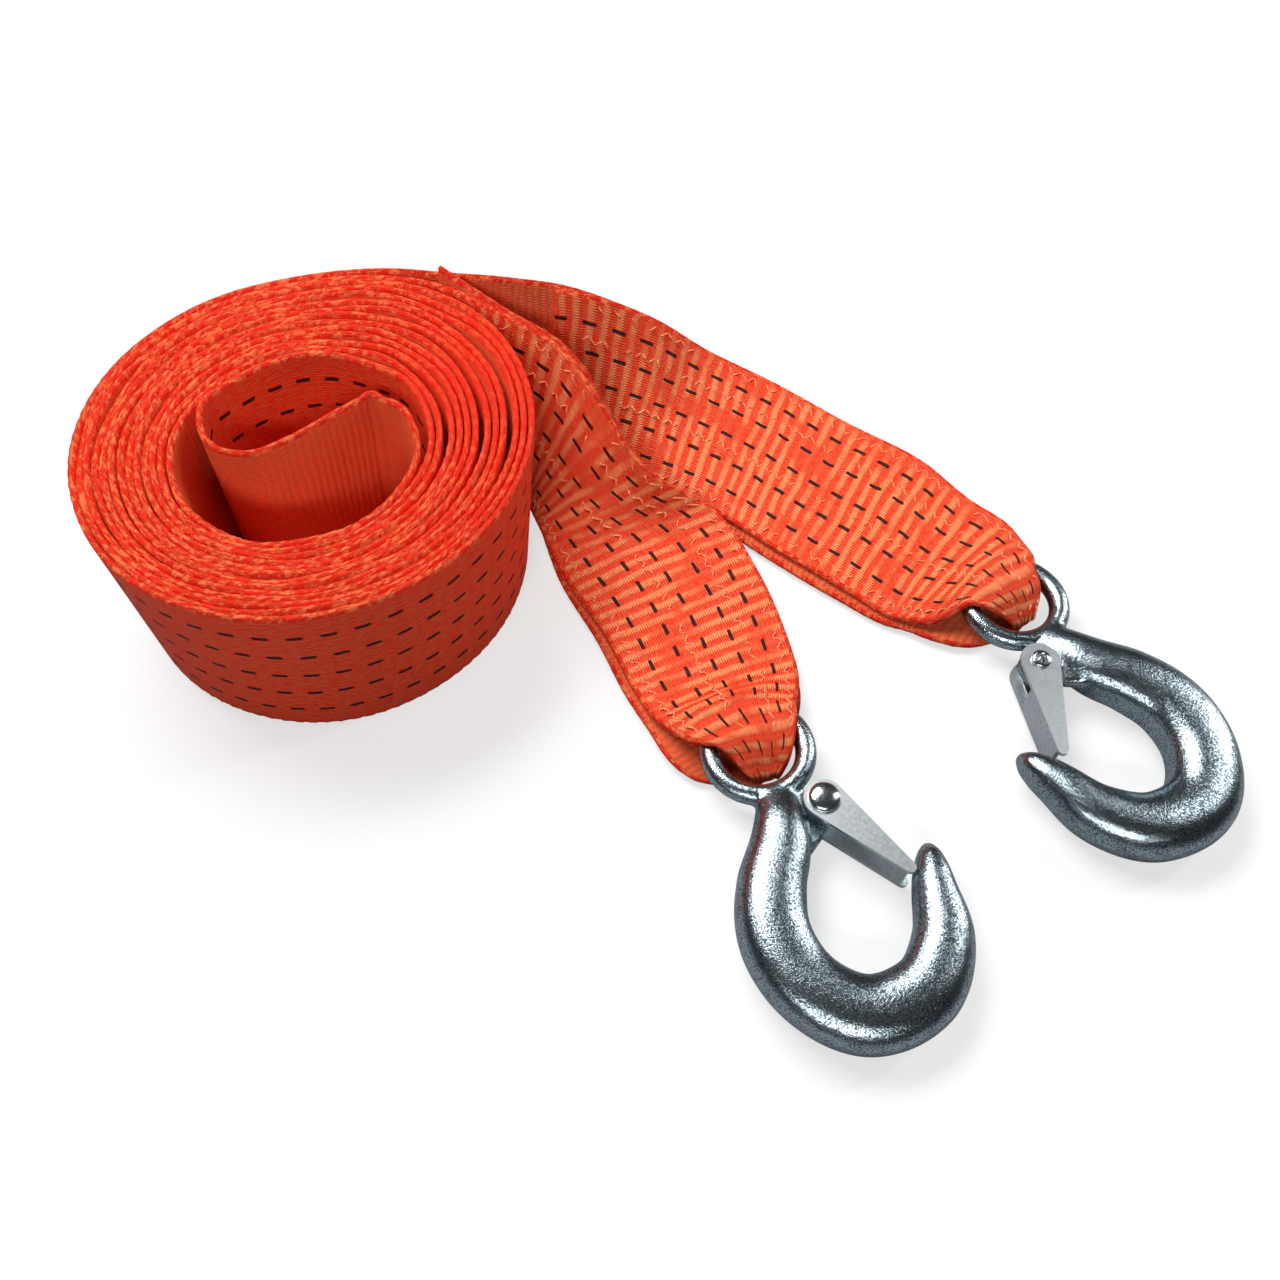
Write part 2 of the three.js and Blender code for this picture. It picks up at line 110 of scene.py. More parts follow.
# Eyes, seen from the ring: (across, along, height) of the near and of the far edge, and
# how far the middle stands above the edges. Upper ply from the tail into the ring.
EYE_FRONT_UPPER = [
    ((-19.6, -17.2, 4.6), (18.4, -17.0, 5.0), 2.0),
    ((-18.2, -14.0, 5.6), (16.4, -12.4, 6.6), 4.2),
    ((-16.8, -10.8, 6.8), (14.4, -9.2, 8.0), 4.4),
    ((-15.0, -7.4, 8.8), (12.8, -7.2, 9.8), 2.4),
    ((-13.0, -4.9, 10.6), (11.8, -4.6, 10.8), 0.9),
    ((-9.9, -2.8, 10.9), (9.8, -0.6, 10.5), 0.2),
    ((-7.4, -0.4, 9.3), (7.8, 2.6, 8.9), 0.0),
    ((-5.8, 2.6, 6.9), (5.8, 4.4, 6.5), 0.0),
    ((-3.8, 5.4, 4.5), (3.2, 6.2, 4.2), 0.0),
]
EYE_FRONT_LOWER = [
    ((-4.4, 5.6, 2.6), (3.4, 6.2, 2.5), 0.0),
    ((-8.0, 4.2, 1.7), (5.8, 4.6, 1.7), 0.0),
    ((-14.2, 1.2, 1.9), (9.6, 0.4, 1.7), 0.0),
    ((-18.3, -3.3, 2.3), (13.6, -5.8, 1.7), 0.2),
    ((-20.4, -8.5, 2.5), (17.0, -11.5, 1.7), 0.2),
    ((-21.4, -15.0, 2.1), (18.6, -16.5, 1.7), 0.0),
]
EYE_REAR_UPPER = [
    ((-20.6, -17.0, 4.6), (22.2, -15.4, 5.0), 2.2),
    ((-18.6, -13.0, 5.6), (18.8, -9.0, 6.6), 4.6),
    ((-15.2, -10.2, 7.9), (14.6, -3.8, 9.0), 3.2),
    ((-11.2, -8.0, 10.8), (9.8, -0.8, 10.8), 0.9),
    ((-8.8, -4.2, 10.7), (7.4, 2.2, 9.8), 0.2),
    ((-6.4, -0.8, 8.4), (5.2, 4.0, 7.6), 0.0),
    ((-4.8, 2.4, 5.6), (2.6, 5.2, 5.0), 0.0),
]
EYE_REAR_LOWER = [
    ((-4.6, 3.2, 2.9), (2.4, 5.4, 2.7), 0.0),
    ((-7.6, 2.6, 1.8), (4.6, 3.8, 1.8), 0.0),
    ((-12.5, 0.3, 1.8), (9.4, -0.4, 1.7), 0.0),
    ((-16.5, -3.2, 2.1), (14.4, -5.4, 1.7), 0.2),
    ((-20.0, -10.0, 2.2), (19.4, -11.0, 1.7), 0.2),
    ((-21.8, -16.5, 1.9), (22.4, -17.5, 1.7), 0.0),
]
EYE_HEADING = {"front": math.radians(20), "rear": math.radians(48)}
# Free loop of the fold in the bore, along the top edge
FOLD_LINE = [
    (-103.2, 179), (-98.5, 174), (-91, 172.6), (-82, 177.3), (-72, 185.6),
    (-67.0, 189.6), (-65.1, 191.3), (-64.0, 191.2), (-62.4, 189.9), (-57.5, 187.4), (-53.6, 181.2),
    (-51.8, 173),
]
PLY_HALF = 0.78
PAIR_OFFSET = 0.95
STEP = 0.7
LAYERS = 13
TURN_LENGTH = 258
TURN_ROWS = 36
WOUND_BAND = 26.4
STITCH = 1.75
THREAD_RADIUS = 0.24
# Rounding of the latch's folds, and the share of it on cut edges; spring wire and coil
FOLD_ROUND = 0.9
CUT_EDGE = 0.28
SPRING_WIRE = 0.35
SPRING_COIL = 2.4

# Stage, in metres; a lamp has a name, a place, a size and a power, and the main one is first
SENSOR = 36
FLOOR_HALF = 2.5
LAMPS = (
    ("light_key", (-0.22, 0.30, 0.60), (0.50, 0.25), 5.5),
    ("light_right", (0.55, 0.22, 0.30), (0.10, 0.5), 1.6),
    ("light_front", (-0.1, -0.62, 0.55), (0.5, 0.10), 2.6),
)


def find_shift():
    """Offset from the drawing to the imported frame, read from where the front rivet lies."""
    low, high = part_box("rivet_front")
    spot = HOOKS["front"]
    cos, sin = math.cos(spot["turn"]), math.sin(spot["turn"])
    x = spot["x"] + cos * PIVOT[0] - sin * PIVOT[1]
    y = spot["y"] + sin * PIVOT[0] + cos * PIVOT[1]
    return np.array([
        x - (low[0] + high[0]) / 2 / MM,
        y - (low[1] + high[1]) / 2 / MM,
        0.0,
    ])


SHIFT = find_shift()


def placed(points):
    """Drawing millimetres to metres in the frame."""
    return (np.asarray(points, float) - SHIFT) * MM


def linear(red, green, blue):
    """Screen colour, 0 to 255, as linear light."""
    def one(value):
        value /= 255
        return value / 12.92 if value <= 0.04045 else ((value + 0.055) / 1.055) ** 2.4
    return (one(red), one(green), one(blue))


def ripple(x, seed, wavelength):
    """Smooth seeded waviness between about -1 and 1."""
    rng = random.Random(seed)
    total = np.zeros_like(np.asarray(x, float))
    for k in range(5):
        length = wavelength * rng.uniform(0.6, 1.7)
        total = total + math.sqrt(0.4) * np.sin(2 * math.pi * x / length + rng.uniform(0, 6.28))
    return total / 1.6


# ------------------------------------------------------------------ settings

COLOUR = {"size": 3, "min": 0, "max": 1, "subtype": "COLOR"}
LENGTH = {"subtype": "DISTANCE", "unit": "LENGTH"}


class StrapSettings(bpy.types.PropertyGroup):
    """Sizes and colours of the webbing."""
    cloth_width: FloatProperty(
        name="Cloth width", description="Width of the woven strap",
        default=WEB_WIDTH * MM, min=0.02, max=0.1, **LENGTH)
    rib_pitch: FloatProperty(
        name="Rib pitch", description="Distance between the cross ribs of the patterned face",
        default=0.0036, min=0.001, max=0.01, **LENGTH)
    dash_pitch: FloatProperty(
        name="Dash pitch", description="Distance between dark dashes along one row",
        default=0.0072, min=0.002, max=0.05, **LENGTH)
    row_pitch: FloatProperty(
        name="Row pitch", description="Distance between the rows of dashes",
        default=0.0085, min=0.002, max=0.02, **LENGTH)
    deep: FloatVectorProperty(
        name="Ground colour", description="Colour of the yarn between the ribs",
        default=linear(232, 42, 6), **COLOUR)
    bright: FloatVectorProperty(
        name="Rib colour", description="Colour of the loose yarn on the ribs",
        default=linear(255, 168, 108), **COLOUR)
    dash: FloatVectorProperty(
        name="Dash colour", description="Colour of the dark marker yarn",
        default=linear(34, 6, 8), **COLOUR)


class HookSettings(bpy.types.PropertyGroup):
    """Sizes and colours of the metal."""
    voxel: FloatProperty(
        name="Mesh size", description="Size of the forging's mesh",
        default=0.0005, min=0.0003, max=0.002, **LENGTH)
    light_zinc: FloatVectorProperty(
        name="Light zinc", description="Bright part of the zinc plate",
        default=linear(198, 214, 220), **COLOUR)
    dark_zinc: FloatVectorProperty(
        name="Dark zinc", description="Dull part of the zinc plate",
        default=linear(52, 68, 80), **COLOUR)


class StageSettings(bpy.types.PropertyGroup):
    """Floor, light and camera."""
    floor: FloatVectorProperty(
        name="Floor colour", description="Colour of the plain floor",
        default=(0.93, 0.93, 0.93), **COLOUR)
    focal: FloatProperty(
        name="Focal length", description="Lens on a 36 mm sensor, in millimetres",
        default=SENSOR * 1125 / 1280, min=10, max=200)
    lift: FloatProperty(
        name="Camera height", description="Height of the camera above the floor",
        default=0.25, min=0.05, max=2, **LENGTH)
    look_down: FloatProperty(
        name="Camera pitch", description="How far below the horizon the camera looks",
        default=math.radians(58.8), min=0, max=math.pi / 2, subtype="ANGLE", unit="ROTATION")
    side_lights: IntProperty(
        name="Side lights", description="Number of lamps beside the main one",
        default=2, min=0, max=2)


# ------------------------------------------------------------------ mesh tools

def scratch(name, points, faces):
    """A helper object; the metal pieces are drawn in millimetres."""
    mesh = bpy.data.meshes.new(name)
    mesh.from_pydata([tuple(p) for p in points], [], [tuple(f) for f in faces])
    mesh.update()
    piece = bpy.data.objects.new(name, mesh)
    bpy.context.scene.collection.objects.link(piece)
    return piece


def finished(piece, material, matrix=Matrix.Identity(4), smooth=True):
    """Bring a helper object into the frame and give it its material."""
    mesh = piece.data
    mesh.transform(matrix)
    if smooth:
        mesh.polygons.foreach_set("use_smooth", [True] * len(mesh.polygons))
    mesh.materials.clear()
    mesh.materials.append(material)
    mesh.update()
    return piece


def make_object(name, points, faces, material, smooth=True):
    """A mesh object from points in metres."""
    piece = scratch(name, points, faces)
    piece.data.validate()
    return finished(piece, material, smooth=smooth)


def vertex_values(mesh, name):
    """Places or normals of all vertices, one row each."""
    values = np.empty(3 * len(mesh.vertices))
    mesh.vertices.foreach_get(name, values)
    return values.reshape(-1, 3)


def hold(mesh, name, kind, field, values):
    """Keep a value of each vertex under a name, for the material."""
    layer = mesh.attributes.new(name, kind, "POINT")
    layer.data.foreach_set(field, values.astype(np.float32).ravel())


def baked(piece):
    """Apply every modifier of the piece and drop them."""
    graph = bpy.context.evaluated_depsgraph_get()
    graph.update()
    mesh = bpy.data.meshes.new_from_object(piece.evaluated_get(graph))
    old = piece.data
    piece.modifiers.clear()
    piece.data = mesh
    mesh.name = piece.name
    bpy.data.meshes.remove(old)
    return piece


def grid_faces(rows, columns, wrap_rows=False):
    """Quads over rows of points; the columns close on themselves."""
    i = np.arange(rows if wrap_rows else rows - 1)
    j = np.arange(columns)
    a = i[:, None] * columns + j[None, :]
    b = i[:, None] * columns + (j[None, :] + 1) % columns
    c = ((i[:, None] + 1) % rows) * columns + (j[None, :] + 1) % columns
    d = ((i[:, None] + 1) % rows) * columns + j[None, :]
    return np.stack([a, b, c, d], axis=2).reshape(-1, 4).tolist()


def capped(rows, columns):
    """Quads of a closed bar with a fan cap on both ends."""
    faces = grid_faces(rows, columns)
    faces.append(list(range(columns))[::-1])
    last = (rows - 1) * columns
    faces.append([last + k for k in range(columns)])
    return faces


def tube(line, radius, sides=6):
    """Points and faces of a closed round tube along a line."""
    line = np.asarray(line, float)
    radius = np.broadcast_to(radius, (len(line),))
    tangent = np.gradient(line, axis=0)
    tangent /= np.linalg.norm(tangent, axis=1)[:, None] + 1e-12
    normal = np.cross(tangent[0], (0.3, 0.5, 0.81))
    normal /= np.linalg.norm(normal)
    rings = []
    angles = 2 * math.pi * np.arange(sides) / sides
    for p, t, r in zip(line, tangent, radius):
        normal = normal - t * normal.dot(t)
        normal /= np.linalg.norm(normal) + 1e-12
        other = np.cross(t, normal)
        rings.append(p + r * (np.cos(angles)[:, None] * normal + np.sin(angles)[:, None] * other))
    return np.concatenate(rings), capped(len(line), sides)


def joined(parts):
    """Several (points, faces) as one."""
    points = []
    faces = []
    count = 0
    for some, more in parts:
        points.append(some)
        faces += [[k + count for k in face] for face in more]
        count += len(some)
    return np.concatenate(points), faces


def flow(stations, step):
    """Smooth run through uneven stations at an even step, by the middle of the first two points."""
    rows = np.asarray(stations, float)
    middle = (rows[:, :3] + rows[:, 3:6]) / 2
    spread = np.maximum(np.linalg.norm(np.diff(middle, axis=0), axis=1), 0.4)
    t = np.concatenate([[0], np.cumsum(spread)])
    slope = np.diff(rows, axis=0) / spread[:, None]
    lead = np.empty_like(rows)
    lead[0] = slope[0]
    lead[-1] = slope[-1]
    weight = (spread[1:] / (spread[1:] + spread[:-1]))[:, None]
    lead[1:-1] = slope[:-1] * weight + slope[1:] * (1 - weight)
    at = np.linspace(0, t[-1], int(t[-1] / step) + 2)
    k = np.clip(np.searchsorted(t, at, side="right") - 1, 0, len(t) - 2)
    span = spread[k][:, None]
    x = ((at - t[k]) / spread[k])[:, None]
    return (
        rows[k] * (1 + 2 * x) * (1 - x) ** 2
        + lead[k] * span * x * (1 - x) ** 2
        + rows[k + 1] * x ** 2 * (3 - 2 * x)
        + lead[k + 1] * span * x ** 2 * (x - 1)
    )


# ------------------------------------------------------------------ node tools

def new_material(name):
    """A node material with its Principled shader."""
    material = bpy.data.materials.new(name)
    material.use_nodes = True
    tree = material.node_tree
    return material, tree, tree.nodes["Principled BSDF"]


def feed(tree, slot, value):
    """Give an input a number, a colour or another node's output."""
    if isinstance(value, bpy.types.NodeSocket):
        tree.links.new(value, slot)
    elif isinstance(value, (int, float)):
        slot.default_value = value
    else:
        slot.default_value = (*value[:3], 1)


def put(tree, kind, inputs, output=0, **settings):
    """One node with its settings and inputs; gives one output, or all of them for None."""
    node = tree.nodes.new("ShaderNode" + kind)
    for name, value in settings.items():
        setattr(node, name, value)
    for name, value in inputs.items():
        feed(tree, node.inputs[name], value)
    return node.outputs if output is None else node.outputs[output]


def math_node(tree, kind, *values):
    """One Math node."""
    return put(tree, "Math", dict(enumerate(values)), operation=kind)


def math_tools(tree):
    """Any Math node by its kind, a product, and a product plus a third value."""
    calc = partial(math_node, tree)
    return calc, partial(calc, "MULTIPLY"), partial(calc, "MULTIPLY_ADD")


def ramp_value(tree, value, low, high):
    """Smooth step of a value from low to high."""
    return put(tree, "MapRange", {"Value": value, "From Min": low, "From Max": high},
               "Result", interpolation_type="SMOOTHSTEP")


def mix_colour(tree, share, first, second):
    """Mix of two colours."""
    return put(tree, "Mix", {0: share, 6: first, 7: second}, 2, data_type="RGBA")


def noise_node(tree, vector, scale, detail, rough=0.55):
    """Noise over a vector; gives the factor socket."""
    return put(tree, "TexNoise", {
        "Vector": vector, "Scale": scale, "Detail": detail, "Roughness": rough}, "Fac")


def vector_of(tree, *values):
    """Vector from two or three values."""
    return put(tree, "CombineXYZ", dict(enumerate(values)))


def attribute(tree, name, output="Fac"):
    """A value that the mesh keeps under a name."""
    return put(tree, "Attribute", {}, output, attribute_name=name)


def new_group(name, numbers, colours, results):
    """An empty node group with its sockets; gives what it is handed and what it hands out."""
    tree = bpy.data.node_groups.new(name, "ShaderNodeTree")
    for label, value in numbers.items():
        socket = tree.interface.new_socket(label, in_out="INPUT", socket_type="NodeSocketFloat")
        socket.default_value = value
    for label in colours:
        tree.interface.new_socket(label, in_out="INPUT", socket_type="NodeSocketColor")
    for label, kind in results.items():
        tree.interface.new_socket(label, in_out="OUTPUT", socket_type="NodeSocket" + kind)
    inside = tree.nodes.new("NodeGroupInput")
    outside = tree.nodes.new("NodeGroupOutput")
    return tree, inside.outputs, outside.inputs


def fibre_group():
    """Fine lengthwise yarn with broken light and dark fibres, shared by cloth and thread."""
    if "yarn_fibre" in bpy.data.node_groups:
        return bpy.data.node_groups["yarn_fibre"]
    tree, given, result = new_group(
        "yarn_fibre", {"Along": 0.0, "Across": 0.0, "Pitch": 0.00075, "Break": 0.002}, (),
        {"Yarn": "Float", "Fleck": "Float"})
    calc, times, scaled = math_tools(tree)
    u = calc("DIVIDE", given["Along"], given["Break"])
    v = calc("DIVIDE", given["Across"], given["Pitch"])
    fleck = noise_node(tree, vector_of(tree, u, v), 1.0, 3.0, 0.6)
    wave = calc("SINE", times(v, 2 * math.pi))
    feed(tree, result["Yarn"], scaled(wave, 0.5, 0.5))
    feed(tree, result["Fleck"], ramp_value(tree, fleck, 0.35, 0.65))
    return tree


def zinc_group():
    """Mottled zinc plate over a grained surface, shared by every metal piece."""
    if "zinc_mottle" in bpy.data.node_groups:
        return bpy.data.node_groups["zinc_mottle"]
    tree, given, result = new_group(
        "zinc_mottle", {"Grain": 0.0006, "Patch": 0.008, "Smooth": 0.2, "Rough": 0.42},
        ("Light", "Dark"), {"Color": "Color", "Roughness": "Float", "Height": "Float"})
    calc, times, scaled = math_tools(tree)
    place = put(tree, "TexCoord", {}, "Object")
    grain, patch = (
        noise_node(tree, place, calc("DIVIDE", 1.0, given[name]), detail, 0.6)
        for name, detail in (("Grain", 4.0), ("Patch", 3.0)))
    speck = ramp_value(tree, grain, 0.42, 0.62)
    cloud = ramp_value(tree, patch, 0.38, 0.62)
    dull = scaled(speck, 0.80, times(cloud, 0.15))
    feed(tree, result["Color"], mix_colour(tree, dull, given["Light"], given["Dark"]))
    spread = calc("SUBTRACT", given["Rough"], given["Smooth"])
    feed(tree, result["Roughness"], scaled(dull, spread, given["Smooth"]))
    feed(tree, result["Height"], grain)
    return tree


def placed_group(tree, group, values):
    """Outputs of a group that is placed with its own values."""
    return put(tree, "Group", values, None, node_tree=group)


def add_bump(tree, shader, height, distance, strength=1.0):
    """Bump from a height in distance units."""
    normal = put(tree, "Bump", {
        "Strength": strength, "Distance": distance, "Height": height}, "Normal")
    feed(tree, shader.inputs["Normal"], normal)


def webbing_material(strap):
    """Woven cloth: ribs, comb of loose yarn, rows of dark dashes on one face, knobbly selvedge."""
    material, tree, shader = new_material("webbing_cloth")
    calc, times, scaled = math_tools(tree)
    smooth = partial(ramp_value, tree)
    noise = partial(noise_node, tree)
    # Metres along and across the strap, and 1 on the plain face
    u, v, face = put(tree, "SeparateXYZ", {0: attribute(tree, "cloth", "Vector")}, None)
    slack = attribute(tree, "slack")
    plane = vector_of(tree, u, v, times(face, 0.37))
    fibre = placed_group(tree, fibre_group(), {"Along": u, "Across": v})
    yarn, fleck = fibre["Yarn"], fibre["Fleck"]

    # Cross ribs lean and wander, finer on the plain face
    wander = calc("SUBTRACT", noise(plane, 75.0, 2.0), 0.5)
    tooth = scaled(yarn, 0.00055, scaled(wander, 0.0022, u))
    plain = smooth(face, 0.45, 0.55)
    coarse, fine = (
        calc("SINE", times(tooth, turn * math.pi / strap.rib_pitch)) for turn in (2, 4))
    ribs = scaled(calc("SUBTRACT", fine, coarse), plain, coarse)
    patch = scaled(smooth(noise(plane, 60.0, 3.0), 0.38, 0.54), 0.70, 0.30)
    comb = scaled(yarn, 0.70, 0.30)
    strength = scaled(smooth(slack, 0.15, 0.95), 0.92, 0.08)
    strength = times(strength, scaled(plain, -0.3, 1.0))
    band = smooth(ribs, -0.1, 0.3)
    for share in (patch, comb, strength):
        band = times(band, share)
    line = scaled(plain, 0.16, times(times(yarn, fleck), 0.5))
    band = calc("MAXIMUM", band, line)
    colour = mix_colour(tree, band, strap.deep, strap.bright)
    shade = mix_colour(tree, times(fleck, 0.3), colour, linear(168, 16, 4))

    # Rows of dashes: a little off their line, staggered, with thin ends
    row = calc("ROUND", calc("DIVIDE", v, strap.row_pitch))
    jitter = calc("SUBTRACT", noise(plane, 160.0, 1.0), 0.5)
    aside = scaled(jitter, 0.0007, scaled(row, -strap.row_pitch, v))
    stagger = times(calc("SINE", times(row, 1.9)), 0.12)
    phase = calc("FRACT", calc("ADD", calc("DIVIDE", u, strap.dash_pitch), stagger))
    ends = smooth(calc("ABSOLUTE", calc("SUBTRACT", phase, 0.5)), 0.30, 0.20)
    half_width = scaled(ends, 0.00044, 0.00012)
    inside = calc("SUBTRACT", half_width, calc("ABSOLUTE", aside))
    within = calc("LESS_THAN", calc("ABSOLUTE", row), 2.5)
    dash = smooth(inside, -0.00010, 0.00010)
    for share in (ends, within, calc("SUBTRACT", 1.0, plain)):
        dash = times(dash, share)
    shade = mix_colour(tree, times(dash, 0.97), shade, strap.dash)

    # Selvedge: the weft turns back in small pale loops
    edge = smooth(calc("ABSOLUTE", v), 0.0236, 0.0243)
    side = times(calc("SIGN", v), 1.7)
    run = calc("ADD", u, times(face, 0.0014))
    chain = noise(vector_of(tree, times(run, 560.0), side, times(face, 2.2)), 1.0, 1.0, 0.4)
    hair = noise(vector_of(tree, times(run, 1300.0), times(face, 9.0), side), 1.0, 2.0, 0.6)
    loop = times(smooth(scaled(hair, 0.8, chain), 0.80, 1.08), attribute(tree, "fuzz"))
    rim = mix_colour(tree, loop, linear(232, 36, 6), linear(255, 116, 66))
    feed(tree, shader.inputs["Base Color"], mix_colour(tree, edge, shade, rim))

    height = times(ribs, scaled(slack, 0.45, 0.10))
    for relief, weight in ((yarn, 0.22), (fleck, 0.18), (dash, 0.35), (times(loop, edge), 1.2)):
        height = scaled(relief, weight, height)
    add_bump(tree, shader, height, 0.0003, 0.8)
    feed(tree, shader.inputs["Roughness"], scaled(fleck, 0.15, 0.62))
    shader.inputs["Specular IOR Level"].default_value = 0.22
    return material


def thread_material():
    """Sewing thread, paler than the cloth."""
    material, tree, shader = new_material("sewing_thread")
    place = put(tree, "TexCoord", {}, "Object")
    along, across, _ = put(tree, "SeparateXYZ", {0: place}, None)
    fibre = placed_group(tree, fibre_group(), {
        "Along": along, "Across": across, "Pitch": 0.0004, "Break": 0.0008})
    colour = mix_colour(tree, fibre["Fleck"], linear(238, 88, 46), linear(255, 170, 124))
    feed(tree, shader.inputs["Base Color"], colour)
    add_bump(tree, shader, fibre["Yarn"], 0.0001, 0.5)
    shader.inputs["Roughness"].default_value = 0.6
    return material


def zinc_material(name, light, dark, *, grain, patch, smooth, rough, bump):
    """Zinc plated steel: sizes in metres, roughness of its bright and of its dull parts."""
    material, tree, shader = new_material(name)
    zinc = placed_group(tree, zinc_group(), {
        "Grain": grain, "Patch": patch, "Smooth": smooth, "Rough": rough,
        "Light": light, "Dark": dark})
    feed(tree, shader.inputs["Base Color"], zinc["Color"])
    feed(tree, shader.inputs["Roughness"], zinc["Roughness"])
    add_bump(tree, shader, zinc["Height"], bump)
    shader.inputs["Metallic"].default_value = 1.0
    return material


# ------------------------------------------------------------------ webbing

def wound_share(turns, strand):
    """How far out a strand lies after so many turns, 0 at the bore and 1 at the rim."""
    layer = 2 * turns + strand
    part = np.mod(turns, 1.0)
    step_over = np.clip((part - 0.68) / 0.14, 0, 1)
    step_over = step_over ** 2 * (3 - 2 * step_over)
    reach = LAYERS + 2 * part - 2 * step_over - 0.5
    share = (layer - 0.5) / reach
    angle = -2 * math.pi * turns
    for centre, spread, marks, opening in (
        (math.radians(8), 0.85, (1, 3, 7, 10), 1.05),
        (math.radians(188), 0.55, (2, 5, 8, 11), 0.55),
        (math.radians(250), 0.5, (4, 9), 0.35),
    ):
        away = np.mod(angle - centre + math.pi, 2 * math.pi) - math.pi
        weight = np.exp(-(away / spread) ** 2)
        for mark in marks:
            rise = np.clip((layer - mark + 0.35) / 0.7, 0, 1)
            rise = rise ** 2 * (3 - 2 * rise)
            share = share + weight * opening / WOUND_BAND * (rise - np.clip(share, 0, 1))
    return share


def wound_point(share, angle, level):
    """A point of the coil on the drawing."""
    t = level / WEB_WIDTH
    cos, sin = np.cos(angle), np.sin(angle)
    bore = BORE_BOTTOM[2] + (BORE_TOP[2] - BORE_BOTTOM[2]) * t
    pressed = BACK_FLAT * np.maximum(0, np.cos(angle - BACK_ANGLE)) ** 3
    rim = COIL_BOTTOM[2] + (COIL_TOP[2] - COIL_BOTTOM[2]) * t - pressed
    spots = []
    for axis, turn in ((0, cos), (1, sin)):
        inner = BORE_BOTTOM[axis] + (BORE_TOP[axis] - BORE_BOTTOM[axis]) * t + bore * turn
        outer = COIL_BOTTOM[axis] + (COIL_TOP[axis] - COIL_BOTTOM[axis]) * t + rim * turn
        spots.append(inner + (outer - inner) * share)
    return np.array([spots[0], spots[1], level])


def wound_strand(first, last, strand, seed):
    """Stations of one strand between two counts of turns."""
    count = int(abs(last - first) * TURN_ROWS) + 1
    rows = []
    for turns in np.linspace(first, last, count):
        share = float(wound_share(np.array(turns), strand))
        angle = -2 * math.pi * turns
        length = turns * TURN_LENGTH
        low = 0.75 + 0.22 * float(ripple(length, seed, 60))
        high = 49.55 + 0.35 * float(ripple(length, seed + 1, 45)) + 0.3 * math.sin(turns * 40)
        near = wound_point(share, angle, low)
        far = wound_point(share, angle, high)
        rows.append([*near, *far, PLY_HALF, 1.0, 0.0, 0.22, 0.0])
    return rows


def tail_edges(station):
    """Near and far edge of a tail station."""
    near, heading, tilt, share = station
    turn, rise = math.radians(heading), math.radians(tilt)
    width = WEB_WIDTH * share
    far = (
        near[0] + width * math.cos(rise) * math.cos(turn),
        near[1] + width * math.cos(rise) * math.sin(turn),
        near[2] + width * math.sin(rise),
    )
    return np.array(near, float), np.array(far)


def tail_run(stations, offsets, trims, arches, slacks):
    """Stations of one ply of a tail: offset above the pair's middle, edges trimmed inward."""
    pairs = [tail_edges(s) for s in stations]
    middles = np.array([(a + b) / 2 for a, b in pairs])
    along = np.gradient(middles, axis=0)
    rows = []
    for (near, far), way, offset, trim, arch, slack in zip(
            pairs, along, offsets, trims, arches, slacks):
        across = far - near
        width = np.linalg.norm(across)
        across /= width
        normal = np.cross(way, across)
        normal /= np.linalg.norm(normal)
        a = near + across * trim[0] + normal * offset
        b = far - across * trim[1] + normal * offset
        rows.append([*a, *b, PLY_HALF, 1.05, arch, slack, 0.0])
    return rows


def eye_run(side, stations, roll, pleat, upward=1.0):
    """Stations of one ply of an eye, from the ring's own directions to the drawing."""
    spot = HOOKS[side]
    cos, sin = math.cos(EYE_HEADING[side]), math.sin(EYE_HEADING[side])
    rows = []
    for near, far, arch in stations:
        ends = []
        for across, along, level in (near, far):
            ends += [
                spot["x"] + across * cos + along * sin,
                spot["y"] + across * sin - along * cos,
                level,
            ]
        rows.append([*ends, PLY_HALF, roll, upward * arch, 1.0, pleat])
    return rows


def flipped(rows):
    """The same rows for a run that travels the other way: the middle bulges to the other side."""
    return [[*row[:8], -row[8], *row[9:]] for row in rows[::-1]]


